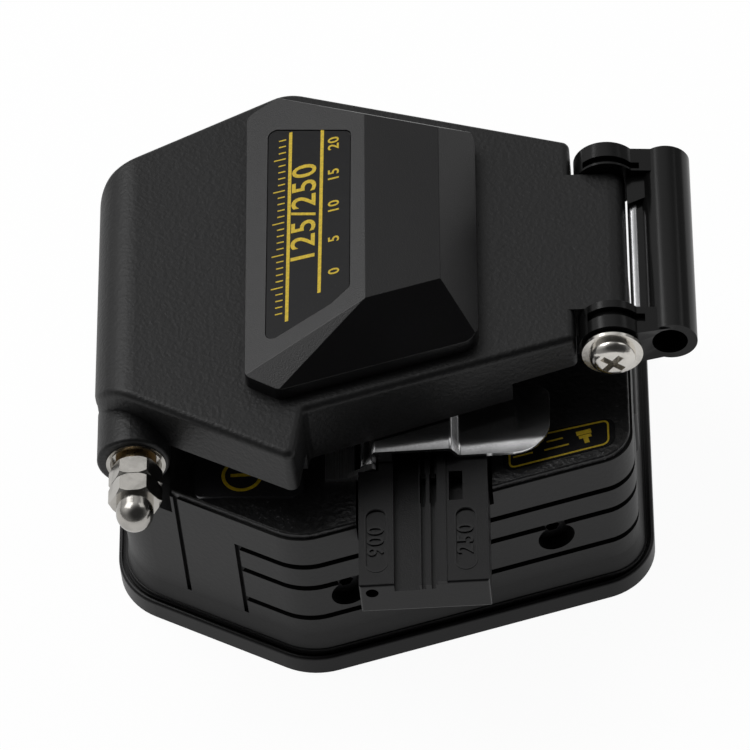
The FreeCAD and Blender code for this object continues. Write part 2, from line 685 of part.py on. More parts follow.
def index_plate():
    """The glossy plate on the deck beside the hinge."""
    return slab(INDEX_OUTLINE, INDEX_RADII, DECK_TOP, DECK_TOP + INDEX_THICKNESS)


def side_screws():
    """A socket set screw at the bottom of each hole in the front wall."""
    screws = []
    for x in SIDE_HOLE_X:
        y, turn = front_face_line(x, BODY_INSET, True)
        socket = hexagon(0, 0, SIDE_SCREW["socket"], -0.1, SIDE_SCREW["depth"])
        socket = socket.rotated(vec(0, 0, 0), vec(1, 0, 0), -90)
        screw = rod_y(0, 0, SIDE_HOLE_DIAMETER - SCREW_GAP, 0, SIDE_SCREW["length"]).cut(socket)
        screw = screw.translated(vec(0, SIDE_HOLE_DEPTH - SIDE_SCREW["length"], 0))
        screws.append(screw.rotated(vec(0, 0, 0), vec(0, 0, 1), turn).translated(vec(x, y, SIDE_HOLE_HEIGHT)))
    return Part.makeCompound(screws)


# ---------------------------------------------------------------- hinge
def hinge_block():
    """The block on the base that carries the hinge shaft between the ears of the lid."""
    half = BARREL_LENGTH / 2
    barrel = rod_y(HINGE_X, HINGE_Z, BARREL_DIAMETER, -half, half)
    web_half = BLOCK_SCREW_Y - BLOCK_SCREW[1] / 2 - SWING_GAP
    web = box(HINGE_X - HINGE_WEB / 2, HINGE_X + HINGE_WEB / 2, -web_half, web_half,
              HINGE_STEP_HEIGHT + 0.5, HINGE_Z)
    foot = box(HINGE_X + HINGE_FOOT[0], HINGE_X + HINGE_FOOT[1], -half, half,
               HINGE_STEP_HEIGHT, HINGE_STEP_HEIGHT + HINGE_FOOT_HEIGHT)
    foot = foot.makeFillet(HINGE_FOOT_ROUND, [e for e in foot.Edges if e.BoundBox.ZLength > 1])
    block = barrel.fuse([web, foot])
    cutters = [rod_y(HINGE_X, HINGE_Z, SHAFT_DIAMETER + 2 * SEAT_GAP, -half - 1, half + 1)]
    cutters += [rod_z(HINGE_X, y, BLOCK_SCREW[0] + 0.15, HINGE_STEP_HEIGHT - 1, HINGE_STEP_HEIGHT + 5)
                for y in (-BLOCK_SCREW_Y, BLOCK_SCREW_Y)]
    return block.cut(cutters)


def block_screws():
    """Two screws that hold the hinge block down."""
    top = HINGE_STEP_HEIGHT + HINGE_FOOT_HEIGHT
    return both_sides(cap_screw(HINGE_X, BLOCK_SCREW_Y, top, BLOCK_SCREW))


def hinge_shaft():
    """The steel shaft of the hinge, threaded for the nuts at both ends."""
    shaft = rod_y(HINGE_X, HINGE_Z, SHAFT_DIAMETER, -CAP_START_Y - CAP_HEX_HEIGHT,
                  BACK_NUT_Y + BACK_NUT_HEIGHT + SLIDING_GAP)
    return shaft.makeChamfer(THREAD_CHAMFER, [e for e in shaft.Edges if e.BoundBox.YLength < 1e-4])


def hinge_nuts():
    """The nut before the front bush, and the thin one in its pocket behind the back bush."""
    bore = SHAFT_DIAMETER + 2 * SEAT_GAP
    front = hex_nut_y(NUT_ACROSS_FLATS, NUT_HEIGHT, bore)
    front = front.translated(vec(HINGE_X, -BUSH_END_Y - LOOSE_GAP, HINGE_Z))
    back = mirror_y(hex_nut_y(NUT_ACROSS_FLATS, BACK_NUT_HEIGHT, bore))
    return Part.makeCompound([front, back.translated(vec(HINGE_X, BACK_NUT_Y, HINGE_Z))])


def hinge_cap():
    """The domed nut over the front end of the shaft."""
    cap = hex_nut_y(NUT_ACROSS_FLATS, CAP_HEX_HEIGHT, 0.2)
    radius = CAP_DOME_DIAMETER / 2
    neck_end = CAP_LENGTH - radius
    neck = rod_y(0, 0, CAP_DOME_DIAMETER, -neck_end, -0.5)
    dome = Part.makeSphere(radius, vec(0, -neck_end, 0))
    bore = rod_y(0, 0, SHAFT_DIAMETER + 2 * SEAT_GAP, -CAP_HEX_HEIGHT - 0.3, 1)
    cap = cap.fuse([neck, dome]).cut(bore)
    return cap.translated(vec(HINGE_X, -CAP_START_Y, HINGE_Z))


def hinge_bushes():
    """A brass bush in each ear of the lid, running on the shaft."""
    bore = rod_y(HINGE_X, HINGE_Z, SHAFT_DIAMETER + 2 * RUNNING_FIT, -FAR, FAR)
    front = rod_y(HINGE_X, HINGE_Z, BUSH_DIAMETER, -BUSH_END_Y, -EAR_INNER_Y)
    back = rod_y(HINGE_X, HINGE_Z, BUSH_DIAMETER, EAR_INNER_Y, EAR_BACK_Y + RING_PROUD)
    return Part.makeCompound([front.cut(bore), back.cut(bore)])


def hinge_ring():
    """The bright cup ring round the front bush, seated in the face of the ear."""
    ring = rod_y(HINGE_X, HINGE_Z, RING_DIAMETER, -EAR_FACE_Y - RING_PROUD, -EAR_FACE_Y + RING_DEPTH)
    hollow = rod_y(HINGE_X, HINGE_Z, RING_DIAMETER - 2 * RING_WALL,
                   -EAR_FACE_Y - 1, -EAR_FACE_Y + RING_DEPTH - RING_FLOOR)
    bore = rod_y(HINGE_X, HINGE_Z, BUSH_DIAMETER + 2 * SEAT_GAP, -FAR, 0)
    return ring.cut([hollow, bore])


# ---------------------------------------------------------------- lid
def lid_profile(roof=0.0, wall=0.0, low=None):
    """The side outline of the lid in X and Z, and its corner radii."""
    barrel_right = PIVOT_X + tongue_radius()
    left = LID_LEFT + wall
    if low is not None:
        points = [(left, low), (barrel_right, low), (barrel_right, lid_top(barrel_right) - roof),
                  (left, lid_top(left) - roof)]
        return points, [0, 0, 0, LID_BACK_ROUND - wall]
    points = [(left, LID_SKIRT_LEFT), (LID_STEP_X, LID_SKIRT_PEAK), (LID_RIGHT, LID_SKIRT_RIGHT),
              (PIVOT_X, PIVOT_Z - tongue_radius()), (barrel_right, PIVOT_Z - tongue_radius()),
              (barrel_right, lid_top(barrel_right)), (left, lid_top(left))]
    return points, [0, 0, 0, 0, tongue_radius() * 0.99, tongue_radius() * 0.99, LID_BACK_ROUND]


def lid_shell():
    """The moulded lid: hollow below, with hinge ears at the left and the latch tongue at the right."""
    plan = slab(lid_plan(), LID_RADII, 0, FAR)
    tongue = box(LID_RIGHT - 1, PIVOT_X + 5, TONGUE_FRONT, TONGUE_BACK, 0, FAR)
    points, radii = lid_profile()
    shell = slice_y(points, radii, -FAR, FAR).common(plan.fuse(tongue))
    top = lid_top(0)
    rim = [e for e in shell.Edges if e.BoundBox.ZMin > top - 2.2 and is_lid_rim(e)]
    shell = shell.makeFillet(LID_EDGE_ROUND, rim)
    inner_plan = slab(lid_plan(LID_WALL), LID_INNER_RADII, 0, FAR)
    points, radii = lid_profile(LID_ROOF, LID_WALL, 0)
    shell = shell.cut(slice_y(points, radii, -FAR, FAR).common(inner_plan))
    return shell.fuse([deep_skirt()] + lid_ears() + cover_posts()).cut(lid_cutters())


def is_lid_rim(edge):
    """True for the edges round the flat top of the lid, away from its rounded back and its tongue."""
    middle = edge.valueAt((edge.FirstParameter + edge.LastParameter) / 2)
    on_top = abs(middle.z - lid_top(middle.x)) < 0.02
    inside = LID_LEFT + LID_BACK_ROUND < middle.x < LID_RIGHT - 0.02
    return on_top and inside and edge.BoundBox.XMax < LID_RIGHT + 0.02


def deep_skirt():
    """The deeper run of the front wall above the fibre holder."""
    ring = slab(lid_plan(), LID_RADII, LID_DEEP_SKIRT, LID_SKIRT_RIGHT + 1)
    ring = ring.cut(slab(lid_plan(LID_WALL), [0] * 7, LID_DEEP_SKIRT - 1, LID_SKIRT_RIGHT + 2))
    return ring.common(box(LID_STEP_X - 1.0, LID_DEEP_END, -LID_STEP_FRONT - 1.5, 0, 0, FAR))


def lid_ears():
    """The round ears at both ends of the hinge; the back one stays inside the outline of the lid."""
    front = rod_y(HINGE_X + EAR_OFFSET, HINGE_Z, EAR_DIAMETER, -EAR_FACE_Y, -EAR_INNER_Y)
    front = front.makeFillet(EAR_ROUND, [e for e in front.Edges if abs(e.BoundBox.YMax + EAR_FACE_Y) < 1e-4])
    return [front, rod_y(HINGE_X + EAR_OFFSET, HINGE_Z, EAR_DIAMETER, EAR_INNER_Y, EAR_BACK_Y)]


def cover_posts():
    """Posts under the roof that the cover is screwed to."""
    return [rod_z(x, y, COVER_POST, COVER_HIGH, lid_top(x) - LID_ROOF / 2) for x, y in COVER_SCREWS]


def lid_cutters():
    """Bores, and the room for the hinge block and its barrel."""
    barrel_room = rod_y(HINGE_X, HINGE_Z, BARREL_DIAMETER + 2 * SWING_GAP, -EAR_INNER_Y, EAR_INNER_Y)
    lip_room = box(LID_LEFT - 2, HINGE_X + 1, -EAR_INNER_Y, EAR_INNER_Y, 0, LID_HINGE_LIP)
    ring_room = rod_y(HINGE_X, HINGE_Z, RING_DIAMETER + 2 * SEAT_GAP, -EAR_FACE_Y - 1, -EAR_FACE_Y + RING_DEPTH)
    nut_room = rod_y(HINGE_X, HINGE_Z, NUT_ROOM, EAR_BACK_Y, EAR_BACK_Y + 10)
    cutters = [barrel_room, lip_room, ring_room, nut_room]
    cutters.append(rod_y(HINGE_X, HINGE_Z, BUSH_DIAMETER + 2 * SEAT_GAP, -FAR, FAR))
    cutters.append(rod_y(PIVOT_X, PIVOT_Z, LATCH_SCREW_DIAMETER + 2 * SEAT_GAP, LATCH_FRONT, LATCH_BACK))
    cutters += [rod_z(x, y, COVER_SCREW[0] + SCREW_GAP, COVER_HIGH - 1, COVER_LOW + COVER_SCREW[3] + HEAD_GAP)
                for x, y in COVER_SCREWS]
    return cutters


def under_cover():
    """The plate that closes the lid from below and carries the upper clamps."""
    gap = LID_WALL + COVER_GAP
    cover = slab(lid_plan(gap), [2.0, 0, 0, 0, 0, 3.0, 2.0], COVER_LOW, COVER_HIGH)
    cover = cover.common(box(HINGE_X + 4.6, LID_RIGHT - gap, -FAR, FAR, COVER_LOW, COVER_HIGH))
    cutters = [rod_z(FIBRE_X, 0, ANVIL_STEM + 2 * SLIDING_GAP, COVER_LOW - 1, COVER_HIGH + 1)]
    for x, y in COVER_SCREWS:
        cutters.append(rod_z(x, y, COVER_SCREW[0] + 2 * HEAD_GAP, COVER_LOW - 1, COVER_HIGH + 1))
    return cover.cut(cutters)


def cover_screws():
    """Four small screws up into the posts of the lid."""
    return Part.makeCompound([cap_screw(x, y, COVER_LOW, COVER_SCREW, False) for x, y in COVER_SCREWS])


# ---------------------------------------------------------------- thumb pad
def on_lid(shape):
    """A shape drawn on a flat lid, moved onto the sloping one."""
    placed = shape.copy()
    turn = FreeCAD.Rotation(vec(0, 1, 0), LID_TILT)
    placed.Placement = FreeCAD.Placement(vec(LID_DATUM, 0, LID_DATUM_TOP), turn)
    return placed


def pad_plan():
    """The outline of the thumb pad, its back edges parallel to those of the lid."""
    lid_corners = [(x - LID_DATUM, y) for x, y in lid_plan(PAD_BACK_MARGIN)]
    peak = lid_corners[5]
    left_slope = (peak[1] - lid_corners[6][1]) / (peak[0] - lid_corners[6][0])
    right_slope = (peak[1] - lid_corners[4][1]) / (peak[0] - lid_corners[4][0])
    back_left = (PAD_LEFT, peak[1] - left_slope * (peak[0] - PAD_LEFT))
    back_right = (PAD_RIGHT, peak[1] + right_slope * (PAD_RIGHT - peak[0]))
    return [(PAD_LEFT, PAD_LEFT_FRONT), (PAD_NOSE, PAD_NOSE_FRONT), (PAD_RIGHT, PAD_RIGHT_FRONT),
            back_right, peak, back_left]


def label_plane():
    """Three points on the sloping facet that carries the label."""
    return [(PAD_LEFT, 0, PAD_SKIRT), (PAD_RIDGE, 0, PAD_HEIGHT), (PAD_RIDGE, 10, PAD_HEIGHT)]


def thumb_pad():
    """The raised pad on the lid: a low skirt, a sloping label facet, a flat and four bevels."""
    plan = pad_plan()
    pad = slab(plan, PAD_RADII, 0, PAD_HEIGHT)
    skirt = [(x, y, PAD_SKIRT) for x, y in plan]
    ridge_front = (PAD_RIDGE, PAD_RIDGE_FRONT, PAD_HEIGHT)
    ridge_back = (PAD_RIDGE, PAD_RIDGE_BACK, PAD_HEIGHT)
    pad = cut_above(pad, label_plane())
    pad = cut_above(pad, [skirt[1], skirt[2], ridge_front])
    pad = cut_above(pad, [skirt[3], skirt[4], ridge_back])
    pad = cut_above(pad, [skirt[0], skirt[1], ridge_front])
    pad = cut_above(pad, [skirt[2], skirt[3], (PAD_FACET_END, 0, PAD_HEIGHT)])
    recess = slab(LABEL_OUTLINE, LABEL_RADII, 0, PAD_HEIGHT + 1)
    floor = cut_above(recess, label_plane(), LABEL_DEPTH)
    return on_lid(pad.cut(recess.cut(floor)))


def label_plate():
    """The thin label in the recess of the thumb pad."""
    points = inset_polygon(list(LABEL_OUTLINE), LOOSE_GAP)
    plate = slab(points, [r - LOOSE_GAP for r in LABEL_RADII], 0, PAD_HEIGHT + 1)
    plate = cut_above(plate, label_plane(), LABEL_DEPTH - LABEL_THICKNESS)
    return on_lid(plate.cut(cut_above(plate, label_plane(), LABEL_DEPTH)))


# ---------------------------------------------------------------- clamps and anvil
def clamp_pair(low, high, seat_low, seat_high):
    """Two clamp blocks, one each side of the blade, with a seat for a pad."""
    half = CLAMP_LENGTH / 2
    block = box(FIBRE_X - half, FIBRE_X + half, CLAMP_NEAR, CLAMP_FAR, low, high)
    block = block.makeChamfer(CLAMP_CHAMFER, [e for e in block.Edges if e.BoundBox.ZLength > 1])
    return both_sides(block.cut(pad_block(seat_low, seat_high, RUNNING_FIT)))


def pad_block(low, high, gap=0.0):
    """One soft pad, in the middle of its clamp."""
    half, middle = CLAMP_PAD_LENGTH / 2 + gap, (CLAMP_NEAR + CLAMP_FAR) / 2
    wide = CLAMP_PAD_WIDTH / 2 + gap
    return box(FIBRE_X - half, FIBRE_X + half, middle - wide, middle + wide, low, high)


def lower_clamps():
    """The blocks on the base that the fibre lies on."""
    seat = LOWER_CLAMP_HIGH - PAD_SEAT_DEPTH
    return clamp_pair(LOWER_CLAMP_LOW, LOWER_CLAMP_HIGH, seat, LOWER_CLAMP_HIGH + 1)


def lower_pads():
    """Soft pads in the lower clamps."""
    return both_sides(pad_block(LOWER_CLAMP_HIGH - PAD_SEAT_DEPTH, LOWER_PAD_TOP))


def upper_clamps():
    """The blocks under the lid that press the fibre down."""
    return clamp_pair(UPPER_CLAMP_LOW, COVER_LOW, UPPER_CLAMP_LOW - 1, UPPER_CLAMP_LOW + PAD_SEAT_DEPTH)


def upper_pads():
    """Soft pads in the upper clamps."""
    return both_sides(pad_block(UPPER_PAD_LOW, UPPER_CLAMP_LOW + PAD_SEAT_DEPTH))


def on_fibre(size, low, high):
    """A block centred on the fibre, over the blade."""
    return box(FIBRE_X - size[0] / 2, FIBRE_X + size[0] / 2, -size[1] / 2, size[1] / 2, low, high)


def anvil_guide():
    """The guide between the upper clamps that the anvil slides in."""
    guide = on_fibre(ANVIL_GUIDE_SIZE, ANVIL_GUIDE_LOW, COVER_LOW)
    return guide.cut(rod_z(FIBRE_X, 0, ANVIL_STEM + 2 * RUNNING_FIT, ANVIL_GUIDE_LOW - 1, COVER_LOW + 1))


def anvil_stem():
    """The sliding stem that carries the anvil tip."""
    shoulder_low = ANVIL_LOW + ANVIL_TIP_HEIGHT
    shoulder = on_fibre(ANVIL_SHOULDER_SIZE, shoulder_low, shoulder_low + ANVIL_SHOULDER)
    return shoulder.fuse(rod_z(FIBRE_X, 0, ANVIL_STEM, shoulder_low, COVER_HIGH + 1.2))


def anvil_tip():
    """The soft tip that bends the fibre over the scored place."""
    low, high = ANVIL_LOW, ANVIL_LOW + ANVIL_TIP_HEIGHT
    left, right = FIBRE_X - ANVIL_TIP_SIZE[0] / 2, FIBRE_X + ANVIL_TIP_SIZE[0] / 2
    points = [(left, low), (right, low), (right, high), (left, high)]
    return slice_y(points, [0.6, 0.6, 0, 0], -ANVIL_TIP_SIZE[1] / 2, ANVIL_TIP_SIZE[1] / 2)


def anvil_nut():
    """The nut that stops the stem on the cover."""
    low = COVER_HIGH + RUNNING_FIT
    nut = hexagon(FIBRE_X, 0, ANVIL_NUT[0], low, low + ANVIL_NUT[1])
    return nut.cut(rod_z(FIBRE_X, 0, ANVIL_STEM + 2 * SEAT_GAP, COVER_HIGH, COVER_HIGH + 2))


def anvil_spring():
    """The small flat-wire spring that pushes the anvil down."""
    wire, radius, turns = SPRING_WIRE, SPRING_RADIUS, SPRING_TURNS
    low = ANVIL_LOW + ANVIL_TIP_HEIGHT + ANVIL_SHOULDER + wire / 2 + 0.03
    height = ANVIL_GUIDE_LOW - wire / 2 - 0.03 - low
    helix = Part.makeHelix(height / turns, height, radius)
    half = wire / 2
    corners = [vec(radius - half, 0, -half), vec(radius + half, 0, -half),
               vec(radius + half, 0, half), vec(radius - half, 0, half)]
    section = Part.makePolygon(corners + corners[:1])
    spring = Part.Wire(helix.Edges).makePipeShell([section], True, True)
    return spring.translated(vec(FIBRE_X, 0, low))


# ---------------------------------------------------------------- latch
def latch_neck(y0, y1, drop=0.0):
    """The neck of a latch arm between its lobe and the tube, its top lowered by a drop."""
    tube_half, lobe_half = LATCH_TUBE_DIAMETER / 2, LATCH_LOBE / 2
    lobe_low, lobe_high = [PIVOT_Z + lobe_half * share for share in LATCH_NECK["lobe"]]
    tube_low, tube_high = [LATCH_TUBE_Z + tube_half * share for share in LATCH_NECK["tube"]]
    points = [(PIVOT_X, lobe_low), (LATCH_TUBE_X, tube_low),
              (LATCH_TUBE_X, tube_high - drop), (PIVOT_X, lobe_high - drop)]
    return slice_y(points, [0] * 4, y0, y1)


def latch_arm(y0, y1, slit):
    """One arm of the latch: a round lobe on the pivot and a neck to the tube, with a shallow slit round it."""
    arm = rod_y(PIVOT_X, PIVOT_Z, LATCH_LOBE, y0, y1).fuse(latch_neck(y0, y1))
    room = box(PIVOT_X - LATCH_SLIT_LEFT, LATCH_TUBE_X - LATCH_TUBE_DIAMETER / 2, slit[0], slit[1], 0, FAR)
    floor = rod_y(PIVOT_X, PIVOT_Z, LATCH_LOBE - 2 * LATCH_SLIT_DEPTH, slit[0] - 1, slit[1] + 1)
    return arm.cut(room.cut([floor, latch_neck(slit[0] - 1, slit[1] + 1, LATCH_SLIT_DEPTH)]))


def latch_gusset():
    """The corner web between the back arm and the tube."""
    low, high = PIVOT_Z - 1.0, PIVOT_Z + 1.3
    left, right = PIVOT_X + LATCH_ROD_REACH - LATCH_ROD_DIAMETER / 2 + 0.05, LATCH_TUBE_X
    back = TONGUE_BACK + 0.3
    points = [(left, LATCH_GUSSET[0]), (right, LATCH_GUSSET[1] + 1.0), (right, back), (left, back)]
    return slab(points, [0] * 4, low, high)


def latch_frame():
    """The swing latch: two arms, a tube across their ends, a web inside it and a gusset."""
    front_inner, back_inner = TONGUE_FRONT - 0.15, TONGUE_BACK + 0.15
    front = latch_arm(LATCH_FRONT, front_inner, LATCH_FRONT_SLIT)
    back = latch_arm(back_inner, LATCH_BACK, LATCH_BACK_SLIT)
    collar = rod_y(PIVOT_X, PIVOT_Z, LATCH_COLLAR[0], LATCH_FRONT - LATCH_COLLAR[1], LATCH_FRONT)
    tube = rod_y(LATCH_TUBE_X, LATCH_TUBE_Z, LATCH_TUBE_DIAMETER, LATCH_TUBE_FRONT, LATCH_BACK)
    web_left = PIVOT_X + LATCH_ROD_REACH + LATCH_ROD_DIAMETER * 0.2
    web = box(web_left, LATCH_TUBE_X, front_inner - 0.5, back_inner + 0.5,
              PIVOT_Z - LATCH_WEB / 2 - 0.2, PIVOT_Z + LATCH_WEB / 2 - 0.2)
    latch = front.fuse([back, collar, tube, web, latch_gusset()])
    screw_bore = rod_y(PIVOT_X, PIVOT_Z, LATCH_SCREW_DIAMETER + 0.2, LATCH_FRONT - 2, LATCH_BACK + 1)
    tube_bore = rod_y(LATCH_TUBE_X - 0.25, LATCH_TUBE_Z, LATCH_TUBE_BORE, LATCH_FRONT - 1, LATCH_BACK + 1)
    return latch.cut([screw_bore, tube_bore, rod_room(2 * SEAT_GAP)])


def rod_room(extra):
    """The steel rod of the latch, or the bore for it."""
    return rod_y(PIVOT_X + LATCH_ROD_REACH, PIVOT_Z, LATCH_ROD_DIAMETER + extra,
                 TONGUE_FRONT - 1.0 - extra, TONGUE_BACK + 0.8 + extra)


def latch_rod():
    """The polished steel rod between the arms of the latch."""
    return rod_room(0.0)


def latch_screws():
    """What the latch turns on: a flanged cross-head screw in front and a sunk slotted pin behind."""
    screw = pan_screw(LATCH_SCREW_DIAMETER, LATCH_SCREW_HEAD, LATCH_SCREW_HEIGHT, LATCH_SCREW_LENGTH)
    front_seat = LATCH_FRONT - LATCH_COLLAR[1] - RUNNING_FIT
    pin_end = LATCH_BACK - LATCH_PIN_SUNK
    pin = rod_y(PIVOT_X, PIVOT_Z, LATCH_SCREW_DIAMETER, pin_end - LATCH_PIN_LENGTH, pin_end)
    half, depth = LATCH_PIN_SLOT[0] / 2, LATCH_PIN_SLOT[1]
    pin = pin.cut(box(PIVOT_X - 2, PIVOT_X + 2, pin_end - depth, pin_end + 1, PIVOT_Z - half, PIVOT_Z + half))
    return Part.makeCompound([screw.translated(vec(PIVOT_X, front_seat, PIVOT_Z)), pin])


# ---------------------------------------------------------------- fibre holder and flap
def fibre_holder():
    """The plastic holder with lanes for fibre, tube and cable, two size marks and a front eyelet."""
    holder = box(HOLDER_LEFT, HOLDER_RIGHT, HOLDER_FRONT, HOLDER_BACK, HOLDER_LOW, HOLDER_TOP)
    holder = holder.makeFillet(HOLDER_ROUND, [e for e in holder.Edges if e.BoundBox.YMax < HOLDER_FRONT + 0.01])
    top = HOLDER_TOP + 1
    lanes = [lane(side["left"], side["right"], HOLDER_TOP - side["depth"]) for side in (CABLE_LANE, LANE_BED)]
    lanes += [lane(x - FINE_LANE_WIDTH / 2, x + FINE_LANE_WIDTH / 2, FIBRE_Z - FIBRE_SINK) for x in FINE_LANES]
    windows = [box(x0, x1, WINDOW_ENDS[0], WINDOW_ENDS[1], HOLDER_TOP - WINDOW_DEPTH, top)
               for x0, x1 in WINDOW_SIDES]
    marks = [stadium(*mark) for mark in SIZE_MARKS]
    eyelet = rod_y(EYELET["x"], HOLDER_TOP - EYELET["below"], EYELET["diameter"],
                   HOLDER_FRONT - 1, HOLDER_FRONT + EYELET["depth"])
    magnet_seat = rod_z(HOLDER_MAGNET[0], HOLDER_MAGNET[1], MAGNET_DIAMETER + 2 * SEAT_GAP,
                        HOLDER_TOP - MAGNET_LENGTH, top)
    screw_seat = rod_z(HOLDER_SCREW[0], HOLDER_SCREW[1], LANE_SCREW[1] + 2 * SCREW_GAP,
                       HOLDER_TOP - LANE_SCREW_SEAT, top)
    screw_bore = rod_z(HOLDER_SCREW[0], HOLDER_SCREW[1], LANE_SCREW[0] + 2 * SCREW_GAP, HOLDER_LOW - 1, top)
    eye_room = box(HOLDER_LEFT - 1, FLAP_PIN_X + 1.25, FLAP_FRONT - 1.2, HOLDER_BACK + 1, FLAP_PIN_Z - 1.2, top)
    holder = holder.cut([eyelet, magnet_seat, screw_seat, screw_bore, eye_room] + lanes + windows + marks)
    height = HOLDER_RIB["height"]
    rib = box(HOLDER_RIB["left"], HOLDER_RIB["right"], HOLDER_FRONT, HOLDER_BACK, HOLDER_TOP - height,
              HOLDER_TOP + height)
    return holder.fuse(rib)


def lane(left, right, floor):
    """A lane along the whole holder."""
    return box(left, right, HOLDER_FRONT - 1, HOLDER_BACK + 1, floor, HOLDER_TOP + 1)


def stadium(x, y, width, length):
    """A shallow recess with round ends, centred on x and y."""
    a, b = width / 2, length / 2
    points = [(x - a, y - b), (x + a, y - b), (x + a, y + b), (x - a, y + b)]
    return slab(points, [a * 0.98] * 4, HOLDER_TOP - SIZE_MARK_DEPTH, HOLDER_TOP + 1)


def holder_magnet():
    """The magnet that holds the flap down."""
    return rod_z(HOLDER_MAGNET[0], HOLDER_MAGNET[1], MAGNET_DIAMETER, HOLDER_TOP - MAGNET_LENGTH, HOLDER_TOP)


def holder_screw():
    """The screw that fixes the holder to the body."""
    return cap_screw(HOLDER_SCREW[0], HOLDER_SCREW[1], HOLDER_TOP - LANE_SCREW_SEAT, LANE_SCREW)


def clamp_flap():
    """The steel flap: an eye on the pin, an upright, a raised part over the lanes and a low finger tab."""
    low, raised, thick = FLAP_LOW_TOP, FLAP_RAISED_TOP, FLAP_THICKNESS
    ramp_end = FLAP_STEP_X + FLAP_RAMP
    upper = [(FLAP_LEFT, FLAP_PIN_Z), (FLAP_LEFT, raised), (FLAP_STEP_X, raised),
             (ramp_end, low), (FLAP_END, low)]
    lower = [(FLAP_END, low - thick), (ramp_end - 0.2, low - thick), (FLAP_STEP_X - 0.2, raised - thick),
             (FLAP_LEFT + thick, raised - thick), (FLAP_LEFT + thick, FLAP_PIN_Z)]
    radii = [0, 0.5, 0.5, 0.5, 0, 0, 0.3, 0.3, 0.1, 0]
    sheet = slice_y(upper + lower, radii, FLAP_FRONT, FLAP_BACK)
    plan = slab([(FLAP_LEFT - 2, FLAP_FRONT), (FLAP_END, FLAP_FRONT), (FLAP_END, FLAP_BACK),
                 (FLAP_LEFT - 2, FLAP_BACK)], [0, FLAP_CORNER * 1.5, FLAP_CORNER / 2, 0], 0, FAR)
    sheet = sheet.common(plan)
    inner = FLAP_PIN_DIAMETER + 2 * RUNNING_FIT
    eye = rod_y(FLAP_PIN_X, FLAP_PIN_Z, inner + 2 * thick, FLAP_FRONT, FLAP_BACK)
    lip = box(FLAP_LEFT + thick / 2, 2.6, FLAP_FRONT, FLAP_FRONT + thick, HOLDER_TOP + 0.2, raised - 0.05)
    bore = rod_y(FLAP_PIN_X, FLAP_PIN_Z, inner, FLAP_FRONT - 1, FLAP_BACK + 1)
    return eye.fuse([sheet, lip]).cut(bore)


def flap_pad():
    """The soft pad under the raised part of the flap."""
    high = FLAP_RAISED_TOP - FLAP_THICKNESS
    pad = box(FLAP_PAD[0], FLAP_PAD[1], FLAP_FRONT + 2.5, FLAP_BACK - 1.5, HOLDER_TOP + 0.35, high)
    return pad.makeFillet(FLAP_PAD_ROUND, [e for e in pad.Edges if e.BoundBox.ZMax < high - 0.1])


def flap_pin():
    """The pin that the flap turns on."""
    return rod_y(FLAP_PIN_X, FLAP_PIN_Z, FLAP_PIN_DIAMETER,
                 FLAP_FRONT - FLAP_PIN_REACH, FLAP_BACK + FLAP_PIN_REACH)


def flap_bracket():
    """The bracket beside the holder, with a sloping lug for the pin at each end."""
    edge = HOLDER_LEFT - HOLDER_GAP - LOOSE_GAP
    front, back = FLAP_FRONT - LUG_THICKNESS - LUG_GAP, FLAP_BACK + LUG_THICKNESS + LUG_GAP
    base = box(edge - BRACKET_WIDTH, edge, front, back, DECK_TOP, DECK_TOP + BRACKET_THICKNESS)
    low = FLAP_PIN_Z - 0.95
    points = [(edge - 1.9, DECK_TOP), (edge, DECK_TOP), (edge + 0.2, low), (FLAP_PIN_X + 0.85, low),
              (FLAP_PIN_X + 0.95, FLAP_PIN_Z + 1.0), (FLAP_PIN_X + 0.5, FLAP_PIN_Z + 1.3),
              (edge - 0.2, DECK_TOP + 0.75)]
    lugs = [slice_y(points, [0, 0, 0, 0.3, 0.2, 0.2, 0.3], y, y + LUG_THICKNESS)
            for y in (front, back - LUG_THICKNESS)]
    bore = rod_y(FLAP_PIN_X, FLAP_PIN_Z, FLAP_PIN_DIAMETER + 2 * SEAT_GAP, FLAP_FRONT - 2, FLAP_BACK + 2)
    return base.fuse(lugs).cut(bore)


# ---------------------------------------------------------------- blade carriage

def guide_rail():
    """The steel rail in the tunnel."""
    rail = box(TUNNEL_LEFT + SLIDING_GAP, TUNNEL_RIGHT - SLIDING_GAP, -RAIL_WIDTH / 2, RAIL_WIDTH / 2,
               TRAY_HEIGHT, TRAY_HEIGHT + RAIL_HEIGHT)
    rail = rail.makeChamfer(RAIL_CHAMFER, [e for e in edges_at_height(rail, TRAY_HEIGHT + RAIL_HEIGHT)
                                  if e.BoundBox.XLength > 1])
    for x in RAIL_SCREWS:
        rail = rail.cut([rod_z(x, 0, RAIL_SCREW[0] + SCREW_GAP, 0, FAR),
                         rod_z(x, 0, RAIL_SCREW[1] + SCREW_GAP, rail_screw_seat(), FAR)])
    return rail


def rail_screw_seat():
    """The height of the seat of the rail screws."""
    return TRAY_HEIGHT + RAIL_HEIGHT - RAIL_SCREW_SINK - RAIL_SCREW[2]


def rail_screws():
    """Two screws that hold the rail to the tray."""
    return Part.makeCompound([cap_screw(x, 0, rail_screw_seat(), RAIL_SCREW) for x in RAIL_SCREWS])


